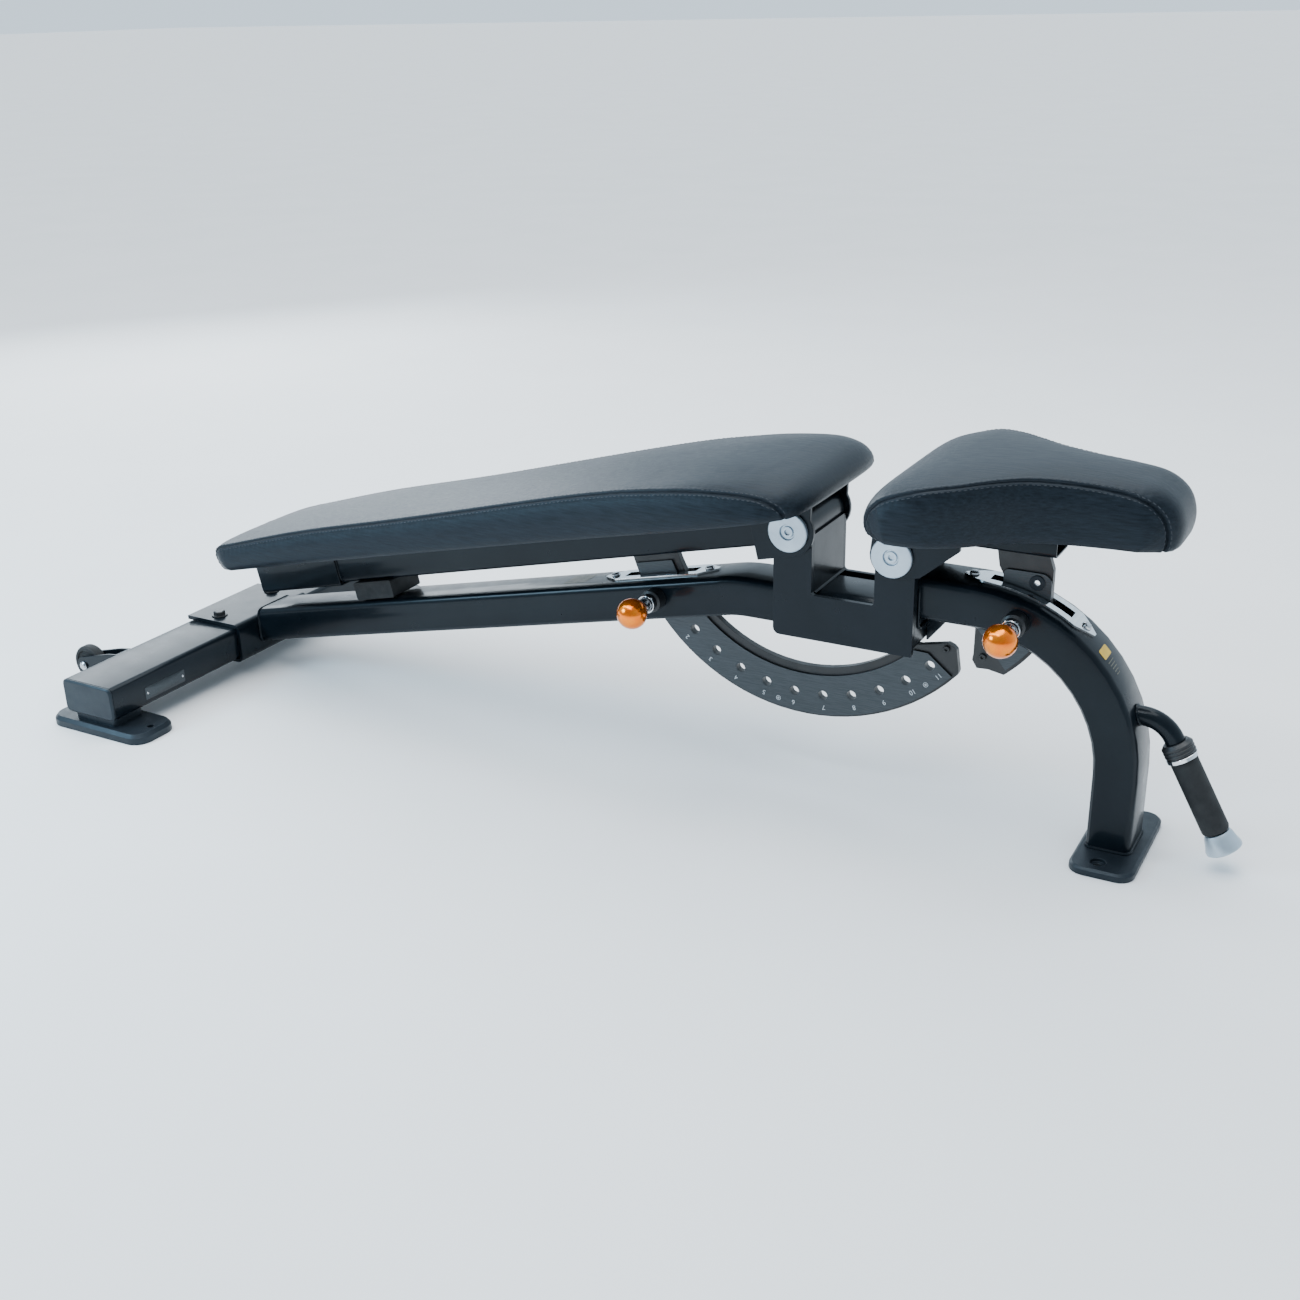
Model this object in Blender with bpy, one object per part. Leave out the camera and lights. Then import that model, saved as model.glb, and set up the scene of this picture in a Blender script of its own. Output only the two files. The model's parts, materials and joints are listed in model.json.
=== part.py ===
"""Adjustable weight bench: three-point frame, hinged backrest and seat, two pull pins.

Metres, +Z up, floor at Z = 0.  X runs from the rear crossbar (-X) to the front leg (+X), and
Y = 0 is the plane that the bench is symmetric about, apart from the pull pins on its -Y side.
Lengths along X are first measured from the rear face of the crossbar; the empty "bench" then
moves everything so that the origin is under the middle of the whole bench.
"""
import math

import bmesh
import bpy
from mathutils import Matrix, Vector

# ---------------------------------------------------------------- driving dimensions
GAP = 0.0003                      # clearance between touching pieces
REAR_TO_ORIGIN = 0.6860           # rear face of the crossbar to the middle of the bench
SMOOTH_ANGLE = math.radians(32)
ROUND = 32                        # facets of a large turned piece
ROUND_SMALL = 20                  # facets of a small one

# rear crossbar and its feet
CROSSBAR_DEPTH = 0.090            # along X
CROSSBAR_BOTTOM = 0.025
CROSSBAR_TOP = 0.072
CROSSBAR_HALF = 0.311             # tube half length, the end caps reach 4 mm further
CROSSBAR_WALL = 0.0025
CAP_PROUD = 0.004
FOOT_LENGTH_FRONT = 0.136         # front end of a rear foot
FOOT_LENGTH_REAR = -0.034
FOOT_OUTER_Y = 0.320
FOOT_INNER_Y = 0.248
FOOT_THICK = 0.014

# transport wheels
WHEEL_X = -0.070
WHEEL_Z = 0.040
WHEEL_Y = 0.203
WHEEL_RADIUS = 0.026
WHEEL_WIDTH = 0.016
FORK_PLATE = 0.004

# saddle bracket that carries the spine on the crossbar
SADDLE_HALF = 0.075
SADDLE_PLATE = 0.006

# spine and front leg: flat-lying rectangular tube
TUBE_WIDTH = 0.070
TUBE_HEIGHT = 0.050
TUBE_CORNER = 0.009
TUBE_WALL = 0.003
SPINE_START_X = 0.0965
SPINE_START_TOP = 0.090
SPINE_SLOPE = math.radians(12.6)
SPINE_LEVEL_TOP = 0.262           # top face of its level stretch under the columns
SPINE_BEND_RADIUS = 0.150
SPINE_END_X = 1.094
LEG_START_X = 1.1003
LEG_ARC_X = 1.158                 # centre of the arc that turns the leg down
LEG_ARC_Z = 0.098
LEG_ARC_RADIUS = 0.174            # of the tube's centre line
FRONT_FOOT_THICK = 0.0095
FRONT_FOOT_REAR = 1.299
FRONT_FOOT_FRONT = 1.371
FRONT_FOOT_HALF = 0.082

# pivots, columns and side plates
BACK_PIVOT = (0.950, 0.3375)      # X, Z of the backrest axle
SEAT_PIVOT = (1.075, 0.326)       # X, Z of the seat axle
BARREL_RADIUS = 0.024
BARREL_HALF = 0.051
AXLE_RADIUS = 0.010
PLATE_THICK = 0.006
PLATE_BOTTOM = 0.207
REAR_COLUMN = (0.929, 0.9765)     # X range
FRONT_COLUMN = (1.053, 1.100)
LUG_THICK = 0.0055
LUG_INNER = BARREL_HALF + GAP
DISC_RADIUS = 0.024
DISC_THICK = 0.005

# sector plates: a carrier with a thin marked face plate on its -Y side
CARRIER_Y = (-0.003, 0.006)
FACE_Y = (-0.0060, -0.0033)
SLOT_HALF = 0.008                 # half width of the slots in the spine and the leg

# backrest, in its own frame: origin on its axle, -X towards the head, +Z out of the pad
DECLINE = math.radians(13.0)      # the backrest's lowest position slopes down to the head
BACK_UNDERSIDE = 0.030
BACK_HEAD = 0.871                 # axle to the head end
BACK_TUBE_WIDTH = 0.050
BACK_TUBE_Z = (-0.0235, 0.0239)
BACK_SECTOR_INNER = 0.186
BACK_SECTOR_OUTER = 0.250
BACK_HOLE_CIRCLE = 0.2217
BACK_PIN_ANGLE = math.radians(-57.5)   # of the pull pin, from straight down below the axle
BACK_FIRST_STEP = math.radians(15.5)   # from decline to nearly flat
BACK_STEP = math.radians(9.68)         # between the other positions
BACK_POSITIONS = 11

# seat, in its own frame: origin on its axle, +X towards the front
SEAT_UNDERSIDE = 0.042
SEAT_TUBE_Z = (0.012, 0.0362)
SEAT_SECTOR_INNER = 0.118
SEAT_SECTOR_OUTER = 0.184
SEAT_SECTOR_FRONT = 0.165           # the sector plate's upright front edge
SEAT_HOLE_CIRCLE = 0.151
SEAT_PIN_ANGLE = math.radians(24.2)    # of the pull pin, below level
SEAT_STEP = math.radians(8.5)
SEAT_POSITIONS = 3
HOLE_RADIUS = 0.0062

BOARD_THICK = 0.010
CROWN = 0.004                     # of the pads, across their middle

# pull pins
PIN_RADIUS = 0.0055
PIN_TIP_Y = FACE_Y[0] - 0.0004    # the tip stops just short of the sector
KNOB_RADIUS = 0.019

# drag handle
HANDLE_RADIUS = 0.011
HANDLE_START_Z = 0.166
HANDLE_BEND = 0.039
HANDLE_DROP = math.radians(61)    # of the grip, below level
GRIP_RADIUS = 0.0153


# ---------------------------------------------------------------- materials
def material(name, colour, roughness, metallic):
    """One Principled material."""
    made = bpy.data.materials.new(name)
    made.use_nodes = True
    shader = made.node_tree.nodes["Principled BSDF"]
    shader.inputs["Base Color"].default_value = (*colour, 1.0)
    shader.inputs["Roughness"].default_value = roughness
    shader.inputs["Metallic"].default_value = metallic
    made.diffuse_color = (*colour, 1.0)
    return made


FINISHES = {
    "paint": ((0.030, 0.040, 0.052), 0.34, 0.35),
    "brushed": ((0.36, 0.39, 0.41), 0.42, 1.0),
    "polished": ((0.82, 0.84, 0.86), 0.10, 1.0),
    "aluminium": ((0.68, 0.75, 0.80), 0.30, 0.9),
    "zinc": ((0.50, 0.51, 0.53), 0.35, 1.0),
    "black_steel": ((0.012, 0.013, 0.015), 0.45, 0.6),
    "orange": ((0.90, 0.22, 0.01), 0.22, 0.8),
    "rubber": ((0.030, 0.033, 0.037), 0.75, 0.0),
    "plastic": ((0.045, 0.060, 0.075), 0.45, 0.0),
    "vinyl": ((0.060, 0.072, 0.085), 0.50, 0.0),
    "plywood": ((0.50, 0.36, 0.22), 0.75, 0.0),
}


# ---------------------------------------------------------------- making objects
def new_object(name, mesh, finish, parent):
    """Put a closed mesh in the scene as one named piece."""
    piece = bpy.data.objects.new(name, mesh)
    bpy.context.collection.objects.link(piece)
    piece.parent = parent
    colour, roughness, metallic = FINISHES[finish]
    mesh.materials.append(material(name + "_" + finish, colour, roughness, metallic))
    mesh.shade_smooth()
    mesh.set_sharp_from_angle(angle=SMOOTH_ANGLE)
    return piece


def rings_mesh(name, rings, closed_loop=False):
    """Skin a stack of equal rings of points; the ends are capped unless the stack is a loop."""
    model = bmesh.new()
    levels = [[model.verts.new(point) for point in ring] for ring in rings]
    count = len(rings[0])
    pairs = list(zip(levels, levels[1:]))
    if closed_loop:
        pairs.append((levels[-1], levels[0]))
    for lower, upper in pairs:
        for i in range(count):
            j = (i + 1) % count
            model.faces.new((lower[i], lower[j], upper[j], upper[i]))
    if not closed_loop:
        model.faces.new(levels[0])
        model.faces.new(levels[-1])
    bmesh.ops.recalc_face_normals(model, faces=model.faces)
    mesh = bpy.data.meshes.new(name)
    model.to_mesh(mesh)
    model.free()
    return mesh


def stack(name, rings, finish, parent, closed_loop=False):
    """A piece skinned over a stack of rings."""
    return new_object(name, rings_mesh(name, rings, closed_loop), finish, parent)


def side_prism(name, outline, y_range, finish, parent):
    """A plate: an (X, Z) outline extruded along Y."""
    rings = [[(x, y, z) for x, z in outline] for y in y_range]
    return stack(name, rings, finish, parent)


def flat_prism(name, outline, z_range, finish, parent):
    """A slab: an (X, Y) outline extruded along Z."""
    rings = [[(x, y, z) for x, y in outline] for z in z_range]
    return stack(name, rings, finish, parent)


def box_outline(low, high):
    """The four corners of a rectangle."""
    return [(low[0], low[1]), (high[0], low[1]), (high[0], high[1]), (low[0], high[1])]


def arc(centre, radius, start, end, steps):
    """Points on a circle between two angles, both ends included."""
    return [(centre[0] + radius * math.cos(start + (end - start) * i / steps),
             centre[1] + radius * math.sin(start + (end - start) * i / steps))
            for i in range(steps + 1)]


def rounded(outline, radii, steps=4):
    """Round the corners of an outline; a radius of zero leaves a corner sharp."""
    if not isinstance(radii, (list, tuple)):
        radii = [radii] * len(outline)
    points = []
    for i, corner in enumerate(outline):
        here = Vector(corner)
        if radii[i] == 0:
            points.append((here.x, here.y))
            continue
        before = (Vector(outline[i - 1]) - here).normalized()
        after = (Vector(outline[(i + 1) % len(outline)]) - here).normalized()
        half_angle = before.angle(after) / 2
        centre = here + (before + after).normalized() * (radii[i] / math.sin(half_angle))
        reach = radii[i] / math.tan(half_angle)
        first = here + before * reach - centre
        last = here + after * reach - centre
        turn = first.angle_signed(last)
        for k in range(steps + 1):
            spoke = first.copy()
            spoke.rotate(Matrix.Rotation(-turn * k / steps, 2))
            points.append((centre.x + spoke.x, centre.y + spoke.y))
    return points


def turned(name, profile, origin, direction, finish, parent, facets=ROUND):
    """Turn a (radius, distance along the axis) profile; a profile off the axis makes a ring."""
    axis = Vector(direction).normalized()
    side = axis.orthogonal().normalized()
    other = axis.cross(side)
    start = Vector(origin)
    on_axis = profile[0][0] == 0
    model = bmesh.new()
    columns = []
    for i in range(facets):
        angle = 2 * math.pi * i / facets
        spoke = side * math.cos(angle) + other * math.sin(angle)
        columns.append([model.verts.new(start + axis * t + spoke * r)
                        for r, t in profile if r > 0])
    rows = len(columns[0])
    span = rows - 1 if on_axis else rows
    for i in range(facets):
        here, there = columns[i], columns[(i + 1) % facets]
        for k in range(span):
            m = (k + 1) % rows
            model.faces.new((here[k], here[m], there[m], there[k]))
    if on_axis:
        for row, t in ((0, profile[0][1]), (rows - 1, profile[-1][1])):
            ring = [column[row] for column in columns]
            centre = model.verts.new(start + axis * t)
            for i in range(facets):
                model.faces.new((ring[i], ring[(i + 1) % facets], centre))
    bmesh.ops.recalc_face_normals(model, faces=model.faces)
    mesh = bpy.data.meshes.new(name)
    model.to_mesh(mesh)
    model.free()
    return new_object(name, mesh, finish, parent)


def across(name, profile, x, z, finish, parent, facets=ROUND):
    """A turned piece about an axis along Y through (x, z); distances are Y values."""
    return turned(name, profile, (x, 0, z), (0, 1, 0), finish, parent, facets)


def rounded_rectangle(width, height, corner, steps=3):
    """A closed (Y, up) section of a rectangular tube."""
    half_w, half_h = width / 2, height / 2
    return rounded(box_outline((-half_w, -half_h), (half_w, half_h)), corner, steps)


def sweep(name, stations, section, finish, parent, bore=None):
    """Carry a (Y, up) section along stations (x, z, up_x, up_z), hollow where a bore is given."""
    def placed(shape, station):
        x, z, up_x, up_z = station
        return [(x + v * up_x, y, z + v * up_z) for y, v in shape]

    outer = [placed(section, station) for station in stations]
    if bore is None:
        return stack(name, outer, finish, parent)
    inner = [placed(bore, station) for station in reversed(stations)]
    return stack(name, outer + inner, finish, parent, closed_loop=True)


def cut(piece, *cutters, operation="DIFFERENCE"):
    """Shape a piece with hidden helper solids."""
    for cutter in cutters:
        cutter.hide_render = True
        cutter.display_type = "WIRE"
        modifier = piece.modifiers.new("cut", "BOOLEAN")
        modifier.operation = operation
        modifier.object = cutter
        modifier.solver = "EXACT"


def drill(piece, spots, radius, y_range, parent, facets=ROUND_SMALL):
    """Holes along Y at (x, z) spots."""
    for i, (x, z) in enumerate(spots):
        profile = [(0, y_range[0]), (radius, y_range[0]), (radius, y_range[1]), (0, y_range[1])]
        name = "cutter_%s_%d" % (piece.name, i)
        cut(piece, across(name, profile, x, z, "black_steel", parent, facets))


def polar(pivot, radius, angle):
    """A point around a pivot; the angle is from straight down, positive towards +X."""
    return (pivot[0] + radius * math.sin(angle), pivot[1] - radius * math.cos(angle))


def empty(name, location, parent=None):
    """A bare axis to parent pieces to."""
    made = bpy.data.objects.new(name, None)
    bpy.context.collection.objects.link(made)
    made.location = location
    made.parent = parent
    return made


SIDES = (("right", -1), ("left", 1))


# ---------------------------------------------------------------- crossbar, feet, wheels
def make_crossbar(bench):
    """Hollow crossbar with plugged ends, two feet and the saddle that takes the spine."""
    height = CROSSBAR_TOP - CROSSBAR_BOTTOM
    middle_z = (CROSSBAR_TOP + CROSSBAR_BOTTOM) / 2
    middle_x = CROSSBAR_DEPTH / 2

    def section(inset):
        corner = 0.007 - inset / 2
        shape = rounded_rectangle(CROSSBAR_DEPTH - 2 * inset, height - 2 * inset, corner)
        return [(middle_x + a, middle_z + b) for a, b in shape]

    def ring(inset, y):
        return [(x, y, z) for x, z in section(inset)]

    tube = [ring(0, -CROSSBAR_HALF), ring(0, CROSSBAR_HALF),
            ring(CROSSBAR_WALL, CROSSBAR_HALF), ring(CROSSBAR_WALL, -CROSSBAR_HALF)]
    stack("rear_crossbar", tube, "paint", bench, closed_loop=True)

    for side, sign in SIDES:
        plug = CROSSBAR_WALL + GAP
        face = CROSSBAR_HALF + GAP
        levels = [ring(plug, sign * (CROSSBAR_HALF - 0.016)), ring(plug, sign * face),
                  ring(0, sign * face), ring(0, sign * (face + CAP_PROUD * 0.5)),
                  ring(CAP_PROUD * 0.6, sign * (face + CAP_PROUD))]
        stack("crossbar_cap_" + side, levels, "plastic", bench)
        make_rear_foot(side, sign, bench)
        make_wheel(side, sign, bench)
        make_saddle_bolt(side, sign, bench)
    make_saddle(bench)


def make_rear_foot(side, sign, bench):
    """A rounded moulded foot whose boss carries the crossbar, with a levelling hole."""
    low = (FOOT_LENGTH_REAR, FOOT_INNER_Y)
    high = (FOOT_LENGTH_FRONT, FOOT_OUTER_Y)
    base = rounded(box_outline(low, high), 0.022, 5)
    crown = rounded(box_outline((low[0] + 0.004, low[1] + 0.004),
                                (high[0] - 0.004, high[1] - 0.004)), 0.018, 5)
    boss = rounded(box_outline((0.008, 0.257), (0.082, 0.308)), 0.006, 5)
    shape = [(base, 0.0), (base, FOOT_THICK - 0.005), (crown, FOOT_THICK), (boss, FOOT_THICK),
             (boss, CROSSBAR_BOTTOM - GAP)]
    rings = [[(x, sign * y, z) for x, y in outline] for outline, z in shape]
    foot = stack("rear_foot_" + side, rings, "plastic", bench)
    hole = turned("cutter_rear_foot_" + side, [(0, -0.01), (0.0045, -0.01), (0.0045, 0.03), (0, 0.03)],
                  (0.122, sign * 0.284, 0), (0, 0, 1), "black_steel", bench, ROUND_SMALL)
    cut(foot, hole)


def make_wheel(side, sign, bench):
    """A transport wheel in a fork welded to the rear face of the crossbar."""
    half = WHEEL_WIDTH / 2 + 0.002
    outer = half + FORK_PLATE
    reach = WHEEL_X - 0.013
    fork_plan = [(-GAP, -outer), (-GAP, outer), (reach, outer), (reach, half),
                 (-0.0045, half), (-0.0045, -half), (reach, -half), (reach, -outer)]
    fork_plan = [(x, sign * WHEEL_Y + y) for x, y in fork_plan]
    fork = flat_prism("wheel_bracket_" + side, fork_plan, (0.020, 0.072), "paint", bench)
    profile = [(0, 0.027), (0, 0.069), (-0.020, 0.066), (WHEEL_X, WHEEL_Z + 0.013)]
    profile += arc((WHEEL_X, WHEEL_Z), 0.013, math.radians(110), math.radians(250), 8)
    profile += [(WHEEL_X, WHEEL_Z - 0.013)]
    span = (sign * WHEEL_Y - 0.03, sign * WHEEL_Y + 0.03)
    trim = side_prism("cutter_fork_" + side, profile, span, "black_steel", bench)
    cut(fork, trim, operation="INTERSECT")
    drill(fork, [(WHEEL_X, WHEEL_Z)], 0.0043, span, bench)

    y = sign * WHEEL_Y
    width = WHEEL_WIDTH / 2
    tyre = [(0.0043, y - width), (0.010, y - width), (0.011, y - width + 0.002),
            (0.019, y - width + 0.002), (0.020, y - width), (WHEEL_RADIUS - 0.002, y - width),
            (WHEEL_RADIUS, y - width + 0.003), (WHEEL_RADIUS, y + width - 0.003),
            (WHEEL_RADIUS - 0.002, y + width), (0.020, y + width), (0.019, y + width - 0.002),
            (0.011, y + width - 0.002), (0.010, y + width), (0.0043, y + width)]
    centre = empty("wheel_axis_" + side, (WHEEL_X, 0, WHEEL_Z), bench)
    across("wheel_" + side, tyre, 0, 0, "rubber", centre)

    head = sign * (WHEEL_Y + outer + GAP)
    tip = sign * (WHEEL_Y - outer - 0.002)
    bolt = [(0, head + sign * 0.004), (0.004, head + sign * 0.004), (0.0065, head + sign * 0.002),
            (0.0065, head), (0.004, head), (0.004, tip), (0, tip)]
    across("wheel_axle_" + side, bolt, WHEEL_X, WHEEL_Z, "zinc", bench, ROUND_SMALL)


def make_saddle(bench):
    """A bent plate over the top, front and underside of the crossbar."""
    inner_top = CROSSBAR_TOP + GAP
    inner_front = CROSSBAR_DEPTH + GAP
    inner_bottom = CROSSBAR_BOTTOM - GAP
    t = SADDLE_PLATE
    outline = [(-0.003, inner_top), (inner_front, inner_top), (inner_front, inner_bottom),
               (0.020, inner_bottom), (0.020, inner_bottom - t + 0.001),
               (inner_front + t, inner_bottom - t + 0.001), (inner_front + t, inner_top + t),
               (-0.003, inner_top + t)]
    radii = [0, 0, 0, 0, 0, 0.012, 0.012, 0]
    side_prism("saddle_bracket", rounded(outline, radii, 6), (-SADDLE_HALF, SADDLE_HALF),
               "paint", bench)


def make_saddle_bolt(side, sign, bench):
    """A hexagon bolt head with its washer on top of the saddle."""
    top = CROSSBAR_TOP + SADDLE_PLATE + 2 * GAP
    profile = [(0, top), (0.0115, top), (0.0115, top + 0.0015), (0.0085, top + 0.0015),
               (0.0085, top + 0.007), (0.0070, top + 0.008), (0, top + 0.008)]
    turned("saddle_bolt_" + side, profile, (0.042, sign * 0.056, 0), (0, 0, 1), "black_steel", bench, 6)


# ---------------------------------------------------------------- spine, leg, columns
def spine_stations():
    """Centre line of the spine: a rising stretch, a bend, and a level stretch."""
    half = TUBE_HEIGHT / 2
    a = SPINE_SLOPE
    start_z = SPINE_START_TOP - half / math.cos(a)
    level_z = SPINE_LEVEL_TOP - half
    corner_x = SPINE_START_X + (level_z - start_z) / math.tan(a)
    tangent = SPINE_BEND_RADIUS * math.tan(a / 2)
    bend_end = corner_x + tangent
    stations = [(SPINE_START_X, start_z, 0.0, 1 / math.cos(a))]
    steps = 4
    for i in range(steps + 1):
        angle = a * (1 - i / steps)
        x = bend_end - SPINE_BEND_RADIUS * math.sin(angle)
        z = level_z - SPINE_BEND_RADIUS * (1 - math.cos(angle))
        stations.append((x, z, -math.sin(angle), math.cos(angle)))
    stations.append((SPINE_END_X, level_z, 0.0, 1.0))
    return stations


def leg_stations(steps=12):
    """Centre line of the front leg: level, a quarter turn, and straight down to the foot."""
    stations = [(LEG_START_X, LEG_ARC_Z + LEG_ARC_RADIUS, 0.0, 1.0)]
    for i in range(steps + 1):
        angle = math.pi / 2 * i / steps
        up_x, up_z = math.sin(angle), math.cos(angle)
        stations.append((LEG_ARC_X + LEG_ARC_RADIUS * up_x, LEG_ARC_Z + LEG_ARC_RADIUS * up_z,
                         up_x, up_z))
    foot = FRONT_FOOT_THICK + GAP
    stations.append((LEG_ARC_X + LEG_ARC_RADIUS, foot, 1.0, 0.0))
    return stations


def spine_point(x, up):
    """A point a distance up from the spine's centre line on its rising stretch."""
    a = SPINE_SLOPE
    start_z = SPINE_START_TOP - TUBE_HEIGHT / 2 / math.cos(a)
    return (x - up * math.sin(a), start_z + (x - SPINE_START_X) * math.tan(a) + up * math.cos(a))


def leg_point(angle, up):
    """A point a distance outside the leg's centre line, the angle measured from the top."""
    radius = LEG_ARC_RADIUS + up
    return (LEG_ARC_X + radius * math.sin(angle), LEG_ARC_Z + radius * math.cos(angle))


def slot_cutter(name, near_edge, far_edge, parent):
    """A slot through one wall, between two lines of points."""
    return side_prism(name, near_edge + far_edge[::-1], (-SLOT_HALF, SLOT_HALF),
                      "black_steel", parent)


BACK_SLOT_TOP = (0.704, 0.805)        # X range of the backrest sector's slots
BACK_SLOT_BOTTOM = (0.742, 0.834)
SEAT_SLOT_TOP = (math.radians(4.0), math.radians(32.0))       # around the leg's arc
SEAT_SLOT_BOTTOM = (math.radians(0.5), math.radians(34.0))


def make_spine_and_leg(bench):
    """The two tubes, with the slots that the sectors run in and the holes for the pins."""
    outer = rounded_rectangle(TUBE_WIDTH, TUBE_HEIGHT, TUBE_CORNER)
    inner = rounded_rectangle(TUBE_WIDTH - 2 * TUBE_WALL, TUBE_HEIGHT - 2 * TUBE_WALL,
                              TUBE_CORNER - TUBE_WALL)
    reach = TUBE_HEIGHT / 2 + 0.006
    wall = (-TUBE_WIDTH / 2 - 0.004, -TUBE_WIDTH / 2 + 0.006)

    spine = sweep("rear_spine", spine_stations(), outer, "paint", bench, inner)
    for name, (x0, x1), up in (("top", BACK_SLOT_TOP, reach), ("bottom", BACK_SLOT_BOTTOM, -reach)):
        lift = up * math.sin(SPINE_SLOPE)
        near = [spine_point(x0, 0), spine_point(x1, 0)]
        far = [spine_point(x0 + lift, up), spine_point(x1 + lift, up)]
        cut(spine, slot_cutter("cutter_back_slot_" + name, near, far, bench))
    drill(spine, [back_pin_spot()], PIN_SLEEVE_RADIUS + GAP, wall, bench)

    leg = sweep("front_leg", leg_stations(), outer, "paint", bench, inner)
    for name, (a0, a1), up in (("top", SEAT_SLOT_TOP, reach), ("bottom", SEAT_SLOT_BOTTOM, -reach)):
        turns = [a0 + (a1 - a0) * i / 5 for i in range(6)]
        near = [leg_point(angle, 0) for angle in turns]
        far = [leg_point(angle, up) for angle in turns]
        cut(leg, slot_cutter("cutter_seat_slot_" + name, near, far, bench))
    drill(leg, [seat_pin_spot()], PIN_SLEEVE_RADIUS + GAP, wall, bench)

    make_front_foot(bench)


def make_front_foot(bench):
    """The front foot plate with two counterbored holes."""
    low = (FRONT_FOOT_REAR, -FRONT_FOOT_HALF)
    high = (FRONT_FOOT_FRONT, FRONT_FOOT_HALF)
    base = rounded(box_outline(low, high), 0.018, 5)
    crown = rounded(box_outline((low[0] + 0.003, low[1] + 0.003),
                                (high[0] - 0.003, high[1] - 0.003)), 0.015, 5)
    levels = [(base, 0.0), (base, FRONT_FOOT_THICK - 0.003), (crown, FRONT_FOOT_THICK)]
    rings = [[(x, y, z) for x, y in outline] for outline, z in levels]
    foot = stack("front_foot", rings, "plastic", bench)
    step = FRONT_FOOT_THICK - 0.004
    for side, sign in SIDES:
        profile = [(0, -0.01), (0.0045, -0.01), (0.0045, step), (0.0085, step), (0.0085, 0.02),
                   (0, 0.02)]
        hole = turned("cutter_front_foot_" + side, profile, (1.330, sign * 0.062, 0), (0, 0, 1),
                      "black_steel", bench, ROUND_SMALL)
        cut(foot, hole)


def cradle_cutter(name, pivot, bench):
    """Clears the pivot barrel out of what it sits on."""
    profile = [(0, -0.1), (BARREL_RADIUS + GAP, -0.1), (BARREL_RADIUS + GAP, 0.1), (0, 0.1)]
    return across(name, profile, pivot[0], pivot[1], "black_steel", bench)


def make_columns(bench):
    """Side plates with a notch, two box columns and the pivot barrels on top of them."""
    top_back = BACK_PIVOT[1] - 0.006
    top_seat = SEAT_PIVOT[1] - 0.006
    notch = SPINE_LEVEL_TOP
    outline = [(REAR_COLUMN[0] - 0.0005, PLATE_BOTTOM), (FRONT_COLUMN[1], PLATE_BOTTOM),
               (FRONT_COLUMN[1], top_seat), (FRONT_COLUMN[0], top_seat), (FRONT_COLUMN[0], notch),
               (REAR_COLUMN[1], notch), (REAR_COLUMN[1], top_back),
               (REAR_COLUMN[0] - 0.0005, top_back)]
    radii = [0.008, 0.002, 0, 0, 0.004, 0.004, 0, 0]
    outer = BARREL_HALF
    inner = BARREL_HALF - PLATE_THICK
    for side, sign in SIDES:
        plate = side_prism("pivot_plate_" + side, rounded(outline, radii),
                           sorted((sign * outer, sign * inner)), "paint", bench)
        cut(plate, cradle_cutter("cutter_plate_back_" + side, BACK_PIVOT, bench),
            cradle_cutter("cutter_plate_seat_" + side, SEAT_PIVOT, bench))

    for name, (x0, x1), pivot in (("rear_column", REAR_COLUMN, BACK_PIVOT),
                                  ("front_column", FRONT_COLUMN, SEAT_PIVOT)):
        half = inner - GAP
        levels = []
        for wall, z in ((0, SPINE_LEVEL_TOP + GAP), (0, pivot[1] - 0.004),
                        (0.004, pivot[1] - 0.004), (0.004, SPINE_LEVEL_TOP + GAP)):
            corners = box_outline((x0 + wall, -half + wall), (x1 - wall, half - wall))
            levels.append([(x, y, z) for x, y in corners])
        column = stack(name, levels, "paint", bench, closed_loop=True)
        cut(column, cradle_cutter("cutter_" + name, pivot, bench))

    for name, pivot in (("back_pivot_barrel", BACK_PIVOT), ("seat_pivot_barrel", SEAT_PIVOT)):
        bore = AXLE_RADIUS + GAP
        profile = [(bore, -BARREL_HALF), (BARREL_RADIUS, -BARREL_HALF),
                   (BARREL_RADIUS, BARREL_HALF), (bore, BARREL_HALF)]
        across(name, profile, pivot[0], pivot[1], "paint", bench)

    half = inner - GAP
    end = box_outline((SPINE_END_X + GAP, PLATE_BOTTOM + 0.009), (FRONT_COLUMN[1], SPINE_LEVEL_TOP))
    side_prism("bracket_end_plate", end, (-half, half), "paint", bench)
    under_leg = LEG_ARC_Z + LEG_ARC_RADIUS - TUBE_HEIGHT / 2 - GAP
    corner_x = FRONT_COLUMN[1] + GAP
    gusset = [(corner_x, 0.212), (corner_x + 0.002, 0.212), (1.130, under_leg),
              (corner_x, under_leg)]
    side_prism("leg_gusset", gusset, (-0.0035, 0.0035), "paint", bench)


# ---------------------------------------------------------------- slot trims
TRIM_THICK = 0.0025
TRIM_HALF = 0.019
TRIM_TIP_HALF = 0.003
BACK_TRIM = (0.674, 0.834)            # X range on the spine's top face
BACK_TRIM_SCREWS = (0.687, 0.821)
SEAT_TRIM_START = 1.141               # X on the level stretch of the leg
SEAT_TRIM_SCREW = 1.152
SEAT_TRIM_END = math.radians(41.0)    # around the leg's arc
SEAT_TRIM_SCREW_ANGLE = math.radians(37.2)


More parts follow.
